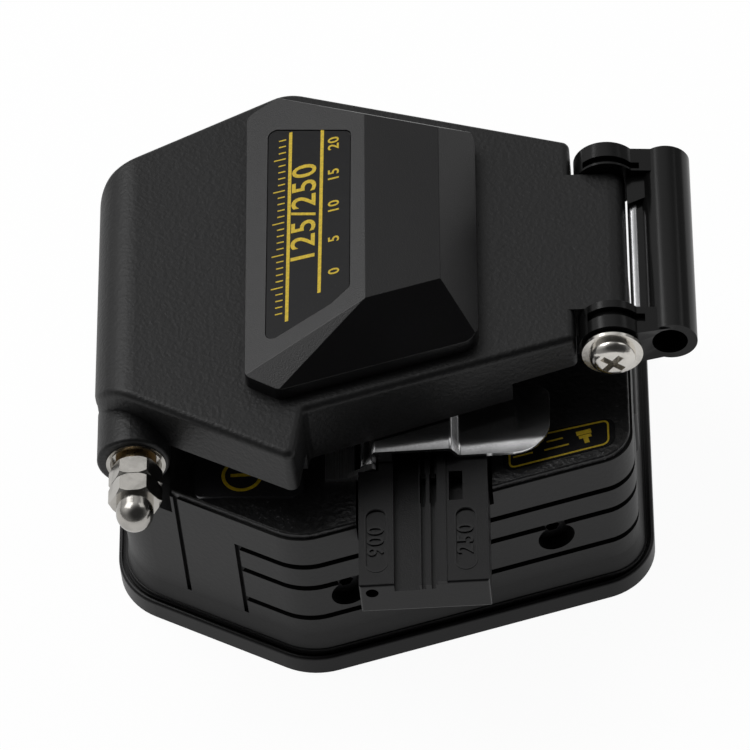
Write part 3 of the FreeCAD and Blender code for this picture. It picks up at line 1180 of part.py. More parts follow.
def carriage():
    """The sliding carriage with a pocket for the blade wheel and a guard beside the blade."""
    half = CARRIAGE_WIDTH / 2
    block = box(CARRIAGE_LEFT, CARRIAGE_RIGHT, -half, half, CARRIAGE_LOW, CARRIAGE_TOP)
    block = block.makeFillet(CARRIAGE_ROUND, [e for e in block.Edges if e.BoundBox.ZLength > 1])
    blade_half = BLADE_DIAMETER / 2
    guard = slice_y([(BLADE_X - blade_half, CARRIAGE_TOP - 1), (BLADE_X + blade_half, CARRIAGE_TOP - 1),
                     (BLADE_X + blade_half * 0.75, GUARD_TOP), (BLADE_X - blade_half * 0.75, GUARD_TOP)],
                    [0, 0, 1.5, 1.5], -GUARD_WIDTH / 2, GUARD_WIDTH / 2)
    pocket = rod_y(BLADE_X, BLADE_Z, BLADE_DIAMETER + 2 * SLIDING_GAP, POCKET_FRONT, POCKET_BACK)
    spindle = rod_y(BLADE_X, BLADE_Z, SPINDLE_DIAMETER + 2 * SEAT_GAP, -half, SPINDLE_BACK + 0.1)
    groove = box(CARRIAGE_LEFT - 1, CARRIAGE_RIGHT + 1, -RAIL_WIDTH / 2 - 0.1, RAIL_WIDTH / 2 + 0.1,
                 CARRIAGE_LOW - 1, TRAY_HEIGHT + RAIL_HEIGHT + 0.1)
    screw = rod_z(HEIGHT_SCREW_X, 0, HEIGHT_SCREW["diameter"] + 2 * SEAT_GAP,
                  CARRIAGE_TOP - HEIGHT_SCREW["length"] - HEIGHT_SCREW["sunk"] - 0.5, CARRIAGE_TOP + 1)
    return block.fuse(guard).cut([pocket, spindle, groove, screw])


def set_screw():
    """The blade height screw in the top of the carriage."""
    top = CARRIAGE_TOP - HEIGHT_SCREW["sunk"]
    screw = rod_z(HEIGHT_SCREW_X, 0, HEIGHT_SCREW["diameter"], top - HEIGHT_SCREW["length"], top)
    return screw.cut(hexagon(HEIGHT_SCREW_X, 0, HEIGHT_SCREW["socket"], CARRIAGE_TOP - 2, CARRIAGE_TOP + 1))


def slider_knob():
    """The push bar that ends flush with the right wall, ribbed for the thumb."""
    half = KNOB_WIDTH / 2
    knob = box(CARRIAGE_RIGHT, KNOB_END, -half, half, KNOB_LOW, KNOB_HIGH)
    knob = knob.makeFillet(KNOB_ROUND, [e for e in knob.Edges if e.BoundBox.XMin > KNOB_END - 0.01])
    half_rib, margin = KNOB_RIB["width"] / 2, KNOB_RIB["margin"]
    ribs = [box(KNOB_END - KNOB_RIB["depth"], KNOB_END + 1, y - half_rib, y + half_rib,
                KNOB_LOW + margin, KNOB_HIGH - margin) for y in KNOB_RIBS]
    return knob.cut(ribs)


def blade_cover():
    """The steel disc that closes the blade pocket, flat where it passes under the deck."""
    front = -CARRIAGE_WIDTH / 2
    cover = rod_y(BLADE_X, BLADE_Z, COVER_DISC[0], front, front + COVER_DISC[1])
    cover = cover.cut(box(-FAR, FAR, -FAR, FAR, CARRIAGE_TOP - LOOSE_GAP, FAR))
    return cover.cut(rod_y(BLADE_X, BLADE_Z, SPINDLE_DIAMETER + 2 * SEAT_GAP, -FAR, FAR))


def blade_spindle():
    """The pin that the blade wheel turns on."""
    front = -CARRIAGE_WIDTH / 2
    spindle = rod_y(BLADE_X, BLADE_Z, SPINDLE_DIAMETER, front, SPINDLE_BACK)
    socket = hexagon(0, 0, 1.5, 0, 1.5).rotated(vec(0, 0, 0), vec(1, 0, 0), -90)
    return spindle.cut(socket.translated(vec(BLADE_X, front - 0.2, BLADE_Z)))


def blade_wheel():
    """The hard blade disc, bevelled to its edge on both sides."""
    half = BLADE_THICKNESS / 2
    radius = BLADE_DIAMETER / 2
    inner = SPINDLE_DIAMETER / 2 + RUNNING_FIT
    shoulder = radius - BLADE_BEVEL
    points = [(inner, -half), (shoulder, -half), (radius, 0), (shoulder, half), (inner, half)]
    wire = Part.makePolygon([vec(a, b, 0) for a, b in points + points[:1]])
    wheel = Part.Face(wire).revolve(vec(0, 0, 0), vec(0, 1, 0), 360)
    return wheel.translated(vec(BLADE_X, 0, BLADE_Z))


def blade_hub():
    """The numbered hub beside the blade, notched for indexing."""
    half = BLADE_THICKNESS / 2
    hub = rod_y(BLADE_X, BLADE_Z, HUB_DIAMETER, -half - HUB_THICKNESS, -half)
    cutters = [rod_y(BLADE_X, BLADE_Z, SPINDLE_DIAMETER + 2 * RUNNING_FIT, -FAR, 0)]
    for step in range(HUB_NOTCHES):
        angle = 2 * math.pi * step / HUB_NOTCHES
        x = BLADE_X + HUB_DIAMETER / 2 * math.cos(angle)
        z = BLADE_Z + HUB_DIAMETER / 2 * math.sin(angle)
        face = -half - HUB_THICKNESS
        cutters.append(rod_y(x, z, HUB_NOTCH[0], face - 1, face + HUB_NOTCH[1]))
    return hub.cut(cutters)


PARTS = (base_tray, foot_pad, base_body, deck_plate, index_plate, base_screws, deck_screws, side_screws,
         hinge_block, block_screws, hinge_shaft, hinge_nuts, hinge_cap, lower_clamps, lower_pads,
         guide_rail, rail_screws, fibre_holder, holder_magnet, holder_screw, flap_bracket, flap_pin,
         lid_shell, thumb_pad, label_plate, hinge_bushes, hinge_ring, under_cover, cover_screws,
         upper_clamps, upper_pads, anvil_guide, latch_screws, latch_frame, latch_rod, clamp_flap, flap_pad,
         carriage, set_screw, slider_knob, blade_cover, blade_spindle, blade_wheel, blade_hub,
         anvil_stem, anvil_tip, anvil_nut, anvil_spring)

os.makedirs("parts", exist_ok=True)
for make in PARTS:
    shape = make()
    shape.exportStep("parts/" + make.__name__ + ".step")
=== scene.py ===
"""Finishes, printed marks and studio for a desktop fibre cleaver."""

import json
import math

import bmesh
import bpy
from bpy.props import FloatProperty, FloatVectorProperty, PointerProperty
from mathutils import Matrix, Vector

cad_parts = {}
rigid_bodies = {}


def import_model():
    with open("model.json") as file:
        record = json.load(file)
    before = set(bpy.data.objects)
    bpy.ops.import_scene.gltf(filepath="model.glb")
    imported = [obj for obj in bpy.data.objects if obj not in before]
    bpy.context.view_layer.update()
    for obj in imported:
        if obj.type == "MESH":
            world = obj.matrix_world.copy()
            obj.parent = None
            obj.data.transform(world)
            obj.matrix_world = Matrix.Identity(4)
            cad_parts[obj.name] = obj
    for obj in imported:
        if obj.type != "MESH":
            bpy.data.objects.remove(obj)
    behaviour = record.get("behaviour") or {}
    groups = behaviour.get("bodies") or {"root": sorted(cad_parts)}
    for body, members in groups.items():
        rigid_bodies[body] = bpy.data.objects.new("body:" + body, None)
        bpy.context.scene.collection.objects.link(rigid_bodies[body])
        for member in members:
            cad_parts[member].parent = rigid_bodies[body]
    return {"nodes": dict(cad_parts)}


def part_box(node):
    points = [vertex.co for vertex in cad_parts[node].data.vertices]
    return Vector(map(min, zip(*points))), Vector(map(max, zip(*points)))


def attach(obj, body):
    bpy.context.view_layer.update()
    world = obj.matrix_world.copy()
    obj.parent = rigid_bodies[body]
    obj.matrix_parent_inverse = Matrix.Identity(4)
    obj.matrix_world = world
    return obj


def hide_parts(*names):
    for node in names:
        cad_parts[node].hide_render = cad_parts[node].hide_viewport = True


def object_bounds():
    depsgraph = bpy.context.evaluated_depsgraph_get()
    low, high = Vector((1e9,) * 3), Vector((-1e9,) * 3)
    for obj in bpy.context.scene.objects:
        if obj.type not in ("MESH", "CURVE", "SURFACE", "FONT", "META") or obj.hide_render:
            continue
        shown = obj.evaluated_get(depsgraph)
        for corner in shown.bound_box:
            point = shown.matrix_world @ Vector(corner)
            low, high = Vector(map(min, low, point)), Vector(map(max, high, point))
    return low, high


bl_info = {
    "name": "Fibre cleaver finishes",
    "version": (1, 0, 0),
    "blender": (4, 5, 0),
    "location": "View3D > Sidebar > Cleaver",
    "description": "Dresses the packed fibre cleaver with its finishes, marks and studio",
    "category": "Object",
}

for leftover in list(bpy.data.objects):
    bpy.data.objects.remove(leftover)
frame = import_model()
CAD_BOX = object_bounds()
MM = 0.001
LID_TILT = math.radians(2.4)
SMOOTH_BELOW = math.radians(32)
FONT_CAPITAL = 0.7
LAMPS = {"key": ((-0.42, 0.30, 0.72), 0.55, 1.0), "fill": ((0.55, 0.35, 0.60), 0.40, 0.18)}
CAMERA_TURN = {"yaw": 5.168, "pitch": 50.226, "roll": -7.103}
CAMERA_LENS = {"lens": 313.2, "sensor_width": 36.0, "shift_x": 0.0016, "shift_y": -0.01412}
CAMERA_DISTANCE = 0.785643
CAMERA_AIM = Vector((0, 0, 0.020))


# ---------------------------------------------------------------- sizes and colours
class CleaverColours(bpy.types.PropertyGroup):
    """Base colours of the finishes."""

    cast_black: FloatVectorProperty(
        name="Cast black", description="Paint on the lid, deck and body", subtype="COLOR",
        size=3, min=0, max=1, default=(0.0075, 0.0075, 0.0078))
    moulded_black: FloatVectorProperty(
        name="Moulded black", description="Plastic of the pad, holder, tray and knob", subtype="COLOR",
        size=3, min=0, max=1, default=(0.0065, 0.0062, 0.0068))
    latch_black: FloatVectorProperty(
        name="Latch black", description="Glossy plastic of the latch", subtype="COLOR",
        size=3, min=0, max=1, default=(0.006, 0.006, 0.006))
    film_black: FloatVectorProperty(
        name="Film black", description="Ground of the labels", subtype="COLOR",
        size=3, min=0, max=1, default=(0.011, 0.011, 0.012))
    ink_yellow: FloatVectorProperty(
        name="Ink yellow", description="Print on the labels", subtype="COLOR",
        size=3, min=0, max=1, default=(1.0, 0.70, 0.022))
    plated_steel: FloatVectorProperty(
        name="Plated steel", description="Nuts, caps, rings and latch screws", subtype="COLOR",
        size=3, min=0, max=1, default=(0.56, 0.54, 0.505))
    ground_steel: FloatVectorProperty(
        name="Ground steel", description="Shafts, rods and rail", subtype="COLOR",
        size=3, min=0, max=1, default=(0.66, 0.66, 0.67))
    pressed_steel: FloatVectorProperty(
        name="Pressed steel", description="Flap over the fibre holder, and its bracket", subtype="COLOR",
        size=3, min=0, max=1, default=(0.90, 0.90, 0.91))
    turned_brass: FloatVectorProperty(
        name="Turned brass", description="Hinge bushes", subtype="COLOR",
        size=3, min=0, max=1, default=(0.62, 0.47, 0.27))
    machined_alloy: FloatVectorProperty(
        name="Machined alloy", description="Hinge block, clamps and carriage", subtype="COLOR",
        size=3, min=0, max=1, default=(0.10, 0.10, 0.105))
    soft_rubber: FloatVectorProperty(
        name="Soft rubber", description="Clamp pads and foot", subtype="COLOR",
        size=3, min=0, max=1, default=(0.014, 0.014, 0.014))


class CleaverSizes(bpy.types.PropertyGroup):
    """Sizes of the marks and of the surface grain."""

    grain: FloatProperty(
        name="Grain", description="Width of one grain of the cast finish", unit="LENGTH",
        default=0.42 * MM, min=0.1 * MM, max=2 * MM)
    grain_depth: FloatProperty(
        name="Grain depth", description="Height of the cast grain", unit="LENGTH",
        default=0.030 * MM, min=0, max=0.2 * MM)
    print_thickness: FloatProperty(
        name="Print thickness", description="Thickness of the printed marks", unit="LENGTH",
        default=0.03 * MM, min=0.005 * MM, max=0.2 * MM)
    rule_width: FloatProperty(
        name="Rule width", description="Width of the rules on the pad label", unit="LENGTH",
        default=0.42 * MM, min=0.1 * MM, max=1 * MM)
    scale_step: FloatProperty(
        name="Scale step", description="Distance between the ticks of the pad label", unit="LENGTH",
        default=1.0 * MM, min=0.5 * MM, max=5 * MM)
    numeral_height: FloatProperty(
        name="Numeral height", description="Height of the numbers on the pad label", unit="LENGTH",
        default=3.0 * MM, min=1 * MM, max=6 * MM)
    mark_height: FloatProperty(
        name="Size mark height", description="Height of the numbers on the fibre holder", unit="LENGTH",
        default=1.9 * MM, min=0.5 * MM, max=4 * MM)
    rim_width: FloatProperty(
        name="Rim width", description="Width of the raised rims round the size marks", unit="LENGTH",
        default=0.16 * MM, min=0.05 * MM, max=0.4 * MM)
    ring_radius: FloatProperty(
        name="Ring radius", description="Middle radius of the printed ring by the hinge", unit="LENGTH",
        default=2.24 * MM, min=1 * MM, max=4 * MM)
    sheet_bevel: FloatProperty(
        name="Sheet bevel", description="Rounding of the edges of the steel flap", unit="LENGTH",
        default=0.15 * MM, min=0.02 * MM, max=0.2 * MM)
    sheet_roll: FloatProperty(
        name="Sheet roll", description="Width of the flap's front edge that curls down", unit="LENGTH",
        default=2.4 * MM, min=0.5 * MM, max=8 * MM)
    pad_bevel: FloatProperty(
        name="Pad bevel", description="Rounding of the edges of the thumb pad", unit="LENGTH",
        default=0.42 * MM, min=0.05 * MM, max=0.8 * MM)


class CleaverStudio(bpy.types.PropertyGroup):
    """Levels of the studio."""

    key_power: FloatProperty(
        name="Key power", description="Power of the large lamp", unit="POWER", default=2.2, min=0)
    sky_level: FloatProperty(
        name="Sky level", description="Brightness of the dim studio walls", default=0.20, min=0)
    tent_level: FloatProperty(
        name="Tent level", description="Brightness of the bright side of the studio", default=0.42, min=0)
    floor_white: FloatProperty(
        name="Floor white", description="Paleness of the floor", default=0.80, min=0, max=1)
    floor_glow: FloatProperty(
        name="Floor glow", description="Share of the floor that glows for every ray", default=0.45,
        min=0, max=1)


# ---------------------------------------------------------------- shader expressions
class Signal:
    """One shader value that Python's operators work on; each operator adds its Math node."""

    def __init__(self, shader, socket):
        self.shader = shader
        self.socket = socket

    def _math(self, operation, *values):
        return self.shader.node("ShaderNodeMath", {"operation": operation}, list(values)).signal()

    def __add__(self, other):
        return self._math("ADD", self, other)

    def __radd__(self, other):
        return self._math("ADD", other, self)

    def __sub__(self, other):
        return self._math("SUBTRACT", self, other)

    def __rsub__(self, other):
        return self._math("SUBTRACT", other, self)

    def __mul__(self, other):
        return self._math("MULTIPLY", self, other)

    def __rmul__(self, other):
        return self._math("MULTIPLY", other, self)

    def sine(self):
        """The sine of the value in radians."""
        return self._math("SINE", self)

    def between(self, low, high):
        """Nought below low, one above high and smooth between them."""
        settings = {"interpolation_type": "SMOOTHSTEP"}
        inputs = {"Value": self, "From Min": low, "From Max": high}
        return self.shader.node("ShaderNodeMapRange", settings, inputs).signal("Result")

    def ramp(self, low, high):
        """Nought below low, one above high and straight between them."""
        inputs = {"Value": self, "From Min": low, "From Max": high}
        return self.shader.node("ShaderNodeMapRange", {"clamp": True}, inputs).signal("Result")


class Made:
    """A node that was made, and its outputs."""

    def __init__(self, shader, node):
        self.shader = shader
        self.node = node

    def out(self, name=0):
        return self.node.outputs[name]

    def signal(self, name=0):
        return Signal(self.shader, self.node.outputs[name])


class Shader:
    """The nodes of one material or world."""

    def __init__(self, tree):
        self.tree = tree
        tree.nodes.clear()

    def node(self, kind, settings=None, inputs=None):
        """Adds a node: its settings first, then the values or links of its sockets."""
        node = self.tree.nodes.new(kind)
        for name, value in (settings or {}).items():
            setattr(node, name, value)
        pairs = enumerate(inputs) if isinstance(inputs, list) else (inputs or {}).items()
        for name, value in pairs:
            self.feed(node.inputs[name], value)
        return Made(self, node)

    def feed(self, socket, value):
        """Sets a socket to a number or colour, or links it."""
        if isinstance(value, Signal):
            self.tree.links.new(value.socket, socket)
        elif isinstance(value, bpy.types.NodeSocket):
            self.tree.links.new(value, socket)
        elif socket.type == "RGBA" and len(value) == 3:
            socket.default_value = (*value, 1.0)
        else:
            socket.default_value = value

    def place(self, scale=(1.0, 1.0, 1.0), centre=(0.0, 0.0, 0.0)):
        """Object coordinates, scaled about a centre."""
        coords = self.node("ShaderNodeTexCoord").out("Object")
        moved = self.node("ShaderNodeVectorMath", {"operation": "SUBTRACT"}, [coords, centre]).out()
        return self.node("ShaderNodeVectorMath", {"operation": "MULTIPLY"}, [moved, scale]).out()

    def noise(self, size, detail=2.0, roughness=0.5, stretch=(1.0, 1.0, 1.0)):
        """Noise whose features are about one size across, in metres."""
        inputs = {"Vector": self.place(stretch), "Scale": 1.0 / size, "Detail": detail,
                  "Roughness": roughness}
        return self.node("ShaderNodeTexNoise", None, inputs).signal("Fac")

    def cells(self, size):
        """Distance to the nearest of many scattered points, in cells of one size."""
        inputs = {"Vector": self.place(), "Scale": 1.0 / size, "Randomness": 1.0}
        return self.node("ShaderNodeTexVoronoi", {"feature": "F1"}, inputs).signal("Distance")

    def axes(self):
        """The three object coordinates as values, in metres."""
        split = self.node("ShaderNodeSeparateXYZ", None, {"Vector": self.place()})
        return split.signal("X"), split.signal("Y"), split.signal("Z")

    def blend(self, factor, first, second):
        """A colour between two colours."""
        inputs = {"Factor": factor, "A": first, "B": second}
        made = self.node("ShaderNodeMix", {"data_type": "RGBA"})
        for socket in made.node.inputs:
            if socket.enabled and socket.name in inputs:
                self.feed(socket, inputs[socket.name])
        return [s for s in made.node.outputs if s.enabled][0]

    def bump(self, height, depth):
        """A normal from a height that runs from nought to one over a depth in metres."""
        inputs = {"Height": height, "Distance": depth, "Strength": 1.0}
        return self.node("ShaderNodeBump", None, inputs).out("Normal")


def new_material(name, surface, constants=None):
    """A material whose Principled sockets are fed by name."""
    material = bpy.data.materials.new(name)
    material.use_nodes = True
    shader = Shader(material.node_tree)
    sockets = dict(constants or {})
    sockets.update(surface(shader))
    principled = shader.node("ShaderNodeBsdfPrincipled", None, sockets)
    shader.node("ShaderNodeOutputMaterial", None, {"Surface": principled.out("BSDF")})
    return material


def shade(colour, factor):
    """A colour made lighter or darker by a plain number."""
    return tuple(channel * factor for channel in colour)


# ---------------------------------------------------------------- finishes
def cast_paint(name, colour, sizes, grain=1.0, depth=1.0, rough=(0.36, 0.52), glint_brightness=3.0):
    """Satin black paint over a fine cast grain, with a few brighter specks that are painted highlights."""
    def surface(shader):
        grains = shader.noise(sizes.grain * grain, 3.0, 0.55)
        pits = shader.cells(sizes.grain * grain * 1.6)
        wear_and_glint_zones = shader.noise(9 * MM, 3.0)
        height = grains * 0.65 + pits * 0.35
        # Mask of the brighter specks: painted highlights standing in for glints off the grain.
        painted_glint_mask = grains.between(0.64, 0.74) * wear_and_glint_zones.between(0.4, 0.6)
        patches = (wear_and_glint_zones * 0.5 + grains * 0.5).between(0.3, 0.7)
        tone = shader.blend(patches, shade(colour, 0.8), shade(colour, 1.35))
        # The specks take the paint colour made several times lighter: a painted highlight.
        tone = shader.blend(painted_glint_mask, tone, shade(colour, glint_brightness))
        gloss = rough[0] + (grains * 0.6 + wear_and_glint_zones * 0.4) * (rough[1] - rough[0])
        return {"Base Color": tone, "Roughness": gloss,
                "Normal": shader.bump(height, sizes.grain_depth * depth)}
    return new_material(name, surface, {"Specular IOR Level": 0.45})


def moulded_plastic(name, colour, sizes, rough=(0.26, 0.36), depth=0.25, sheen=0.42):
    """Smooth moulded plastic with a faint spark-eroded skin and handling marks."""
    def surface(shader):
        skin = shader.noise(0.16 * MM, 2.0)
        flow = shader.noise(14 * MM, 2.0, stretch=(1.0, 0.35, 1.0))
        tone = shader.blend(flow.between(0.35, 0.7), shade(colour, 0.85), shade(colour, 1.25))
        gloss = rough[0] + (flow * 0.7 + skin * 0.3) * (rough[1] - rough[0])
        return {"Base Color": tone, "Roughness": gloss,
                "Normal": shader.bump(skin, sizes.grain_depth * depth)}
    return new_material(name, surface, {"Specular IOR Level": sheen})


def printed_film(name, colour, sheen=0.2):
    """Label film: glossy, with a barely visible orange peel."""
    def surface(shader):
        peel = shader.noise(1.1 * MM, 1.0)
        dust = shader.noise(0.25 * MM, 2.0)
        tone = shader.blend(dust.between(0.55, 0.8), colour, shade(colour, 1.6))
        return {"Base Color": tone, "Roughness": 0.2 + dust * 0.1, "Normal": shader.bump(peel, 0.01 * MM)}
    return new_material(name, surface, {"Specular IOR Level": sheen})


def yellow_ink(name, colour):
    """Opaque screen ink, a little uneven."""
    def surface(shader):
        film = shader.noise(0.3 * MM, 2.0)
        tone = shader.blend(film.between(0.3, 0.75), shade(colour, 0.82), shade(colour, 1.08))
        return {"Base Color": tone, "Roughness": 0.38 + film * 0.15}
    return new_material(name, surface, {"Specular IOR Level": 0.4})


def bright_plating(name, colour):
    """Bright nickel plate with faint polish marks and darker spots."""
    def surface(shader):
        swirl = shader.noise(0.5 * MM, 3.0, 0.6)
        stain = shader.noise(2.2 * MM, 2.0)
        tone = shader.blend(stain.between(0.45, 0.75), colour, shade(colour, 0.72))
        return {"Base Color": tone, "Roughness": 0.10 + swirl * 0.12 + stain * 0.06,
                "Normal": shader.bump(swirl, 0.006 * MM)}
    return new_material(name, surface, {"Metallic": 1.0})


def ground_steel(name, colour, along="Y", rough=(0.16, 0.34)):
    """Steel ground or brushed along one axis."""
    stretch = {"X": (0.03, 1.0, 1.0), "Y": (1.0, 0.03, 1.0), "Z": (1.0, 1.0, 0.03)}[along]

    def surface(shader):
        lines = shader.noise(0.12 * MM, 3.0, 0.6, stretch)
        stain = shader.noise(3.0 * MM, 2.0)
        tone = shader.blend(lines.between(0.35, 0.7), shade(colour, 0.82), shade(colour, 1.06))
        gloss = rough[0] + (lines * 0.7 + stain * 0.3) * (rough[1] - rough[0])
        return {"Base Color": tone, "Roughness": gloss, "Normal": shader.bump(lines, 0.004 * MM)}
    return new_material(name, surface, {"Metallic": 1.0})


def pressed_sheet(name, colour, front, roll):
    """Bright pressed sheet, a little wavy, whose front edge curls down."""
    def surface(shader):
        across = shader.axes()[1]
        inner = 1.0 - across.ramp(front, front + roll)
        wave = shader.noise(4.5 * MM, 1.0)
        fine = shader.noise(0.35 * MM, 3.0, 0.6)
        curl = 1.0 - inner * inner
        tone = shader.blend(fine.between(0.35, 0.8), colour, shade(colour, 0.86))
        return {"Base Color": tone, "Roughness": 0.13 + fine * 0.12,
                "Normal": shader.bump(curl + wave * 0.22 + fine * 0.008, roll * 0.17)}
    return new_material(name, surface, {"Metallic": 1.0})


def turned_metal(name, colour, centre, rough=(0.2, 0.4)):
    """Metal with rings left by turning, round an axis along Y."""
    def surface(shader):
        spot = shader.place(centre=tuple(centre))
        flat = shader.node("ShaderNodeVectorMath", {"operation": "MULTIPLY"}, [spot, (1.0, 0.0, 1.0)]).out()
        radius = shader.node("ShaderNodeVectorMath", {"operation": "LENGTH"}, [flat]).signal("Value")
        wave = (radius * (2 * math.pi / (0.12 * MM))).sine() * 0.5 + 0.5
        fine = shader.noise(0.3 * MM, 3.0)
        tone = shader.blend(fine.between(0.3, 0.75), shade(colour, 0.8), shade(colour, 1.08))
        gloss = rough[0] + (wave * 0.4 + fine * 0.6) * (rough[1] - rough[0])
        return {"Base Color": tone, "Roughness": gloss, "Normal": shader.bump(wave, 0.002 * MM)}
    return new_material(name, surface, {"Metallic": 1.0})


def machined_alloy(name, colour):
    """Anodised alloy with fine cutter lines."""
    def surface(shader):
        lines = shader.noise(0.2 * MM, 2.0, 0.6, (1.0, 0.05, 1.0))
        fine = shader.noise(0.09 * MM, 2.0)
        tone = shader.blend(lines.between(0.3, 0.75), shade(colour, 0.8), shade(colour, 1.15))
        return {"Base Color": tone, "Roughness": 0.34 + fine * 0.16, "Normal": shader.bump(lines, 0.006 * MM)}
    return new_material(name, surface, {"Metallic": 0.85})


def rubber(name, colour):
    """Matt rubber with a fine skin and a little dust."""
    def surface(shader):
        skin = shader.noise(0.2 * MM, 3.0, 0.6)
        dust = shader.noise(4 * MM, 3.0)
        tone = shader.blend((dust * 0.6 + skin * 0.4).between(0.4, 0.75), colour, shade(colour, 1.9))
        return {"Base Color": tone, "Roughness": 0.72 + skin * 0.2, "Normal": shader.bump(skin, 0.02 * MM)}
    return new_material(name, surface, {"Specular IOR Level": 0.35})


def blackened_screw(name):
    """Oil-black steel of socket screws."""
    def surface(shader):
        fine = shader.noise(0.2 * MM, 3.0, 0.6)
        tone = shader.blend(fine.between(0.4, 0.8), (0.02, 0.02, 0.022), (0.055, 0.052, 0.05))
        return {"Base Color": tone, "Roughness": 0.28 + fine * 0.2, "Normal": shader.bump(fine, 0.008 * MM)}
    return new_material(name, surface, {"Metallic": 0.9})


# ---------------------------------------------------------------- mesh helpers
def to_piece(name, bm, body, material):
    """Turns a bmesh into a piece that rides on a body."""
    bmesh.ops.remove_doubles(bm, verts=bm.verts, dist=0.0005 * MM)
    bmesh.ops.recalc_face_normals(bm, faces=bm.faces)
    mesh = bpy.data.meshes.new(name)
    bm.to_mesh(mesh)
    bm.free()
    mesh.materials.clear()
    mesh.materials.append(material)
    piece = bpy.data.objects.new(name, mesh)
    bpy.context.scene.collection.objects.link(piece)
    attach(piece, body)
    return piece


def node_shape(name):
    """A copy of the mesh of a CAD node with its flat faces made whole."""
    node = frame["nodes"][name]
    bm = bmesh.new()
    bm.from_mesh(node.data)
    bmesh.ops.transform(bm, matrix=node.matrix_world, verts=bm.verts)
    bmesh.ops.remove_doubles(bm, verts=bm.verts, dist=0.001 * MM)
    bmesh.ops.dissolve_limit(bm, angle_limit=math.radians(1), verts=bm.verts, edges=bm.edges)
    return bm


def round_edges(bm, edges, radius, segments=3):
    """Rounds some of the edges of a shape."""
    bmesh.ops.bevel(bm, geom=list(edges), offset=radius, offset_type="OFFSET", affect="EDGES",
                    segments=segments, profile=0.5, clamp_overlap=True, material=-1)


def smooth(piece):
    """Shades a piece smooth between its sharp edges, its wide faces staying flat."""
    bm = bmesh.new()
    bm.from_mesh(piece.data)
    for face in bm.faces:
        face.smooth = True
    for edge in bm.edges:
        edge.smooth = edge.is_manifold and edge.calc_face_angle() < SMOOTH_BELOW
    bm.to_mesh(piece.data)
    bm.free()
    weighted = piece.modifiers.new("weighted normals", "WEIGHTED_NORMAL")
    weighted.keep_sharp = True


def join(bm, other):
    """Adds one bmesh to another and frees it."""
    mesh = bpy.data.meshes.new("joined")
    other.to_mesh(mesh)
    other.free()
    bm.from_mesh(mesh)
    bpy.data.meshes.remove(mesh)


def flat_shape(bm, points, radius=0.0):
    """A flat face through points, with rounded corners, in the plane z = 0."""
    verts = [bm.verts.new((x, y, 0.0)) for x, y in points]
    face = bm.faces.new(verts)
    if radius > 0:
        bmesh.ops.bevel(bm, geom=verts, offset=radius, offset_type="OFFSET", affect="VERTICES",
                        segments=6, profile=0.5, material=-1)
        bm.faces.ensure_lookup_table()
        face = bm.faces[-1]
    return face


def thicken(bm, faces, height):
    """Extrudes flat faces upwards by a height and leaves a closed solid."""
    result = bmesh.ops.extrude_face_region(bm, geom=list(faces), use_keep_orig=True)
    top = [item for item in result["geom"] if isinstance(item, bmesh.types.BMVert)]
    bmesh.ops.translate(bm, vec=(0, 0, height), verts=top)


def outline_band(bm, points, radius, width):
    """A band that follows the inside of an outline with rounded corners."""
    face = flat_shape(bm, points, radius)
    result = bmesh.ops.inset_region(bm, faces=[face], thickness=width, use_boundary=True,
                                     use_even_offset=True)
    bmesh.ops.delete(bm, geom=[face], context="FACES")
    return result["faces"]


def bar(bm, x0, x1, y0, y1, height):
    """A thin block between two corners, from z = 0."""
    size = Matrix.Diagonal((x1 - x0, y1 - y0, height, 1.0))
    middle = Matrix.Translation(((x0 + x1) / 2, (y0 + y1) / 2, height / 2))
    bmesh.ops.create_cube(bm, size=1.0, matrix=middle @ size)


def ring(bm, radius, width, height):
    """A flat ring from z = 0, spun from its small square section."""
    inner, outer = radius - width / 2, radius + width / 2
    corners = [(inner, 0.0), (outer, 0.0), (outer, height), (inner, height)]
    verts = [bm.verts.new((r, 0.0, z)) for r, z in corners]
    edges = [bm.edges.new((verts[i], verts[(i + 1) % 4])) for i in range(4)]
    bmesh.ops.spin(bm, geom=verts + edges, cent=(0, 0, 0), axis=(0, 0, 1), angle=2 * math.pi,
                   steps=48, use_merge=True)


def add_numerals(bm, words, height, thickness, place, weight, spacing=1.0):
    """Adds plain characters to a bmesh, centred on a placement and thickened upwards."""
    curve = bpy.data.curves.new("numerals", "FONT")
    curve.body = words
    curve.size = height / FONT_CAPITAL
    curve.align_x = "CENTER"
    curve.align_y = "CENTER"
    curve.extrude = thickness / 2
    curve.offset = weight
    curve.space_character = spacing
    curve.resolution_u = 4
    holder = bpy.data.objects.new("numerals", curve)
    mesh = bpy.data.meshes.new_from_object(holder)
    bpy.data.objects.remove(holder)
    mesh.transform(place @ Matrix.Translation((0, 0, thickness / 2)))
    bm.from_mesh(mesh)
    bpy.data.meshes.remove(mesh)


def turned(angle, x, y):
    """A placement turned about Z, then moved."""
    return Matrix.Translation((x, y, 0)) @ Matrix.Rotation(angle, 4, "Z")


def label_frame():
    """Placement of the sloping face of the pad label: x runs up the slope and y along the pad."""
    low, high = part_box("label_plate")
    film = 0.21 * MM
    slope = math.atan2(high.z - low.z - film, high.x - low.x)
    origin = Matrix.Translation((low.x, 0.0, low.z + film))
    return origin @ Matrix.Rotation(-slope, 4, "Y")


def finish_nodes(finishes):
    """Gives each CAD node its finish."""
    for name, material in finishes.items():
        for place in frame["nodes"][name].material_slots:
            place.material = material


def node_centre(name):
    """Centre of a CAD node in its own coordinates."""
    low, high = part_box(name)
    return frame["nodes"][name].matrix_world.inverted() @ ((low + high) / 2)


# ---------------------------------------------------------------- operators
class CleaverOperator(bpy.types.Operator):
    """Shared by the cleaver's operators."""

    bl_idname = "cleaver.base"
    bl_label = "Cleaver step"
    bl_options = {"REGISTER", "UNDO"}

    def execute(self, context):
        scene = context.scene
        self.make(scene.cleaver_colours, scene.cleaver_sizes, scene.cleaver_studio)
        return {"FINISHED"}

    def make(self, colours, sizes, studio):
        raise NotImplementedError("each step makes its own pieces")


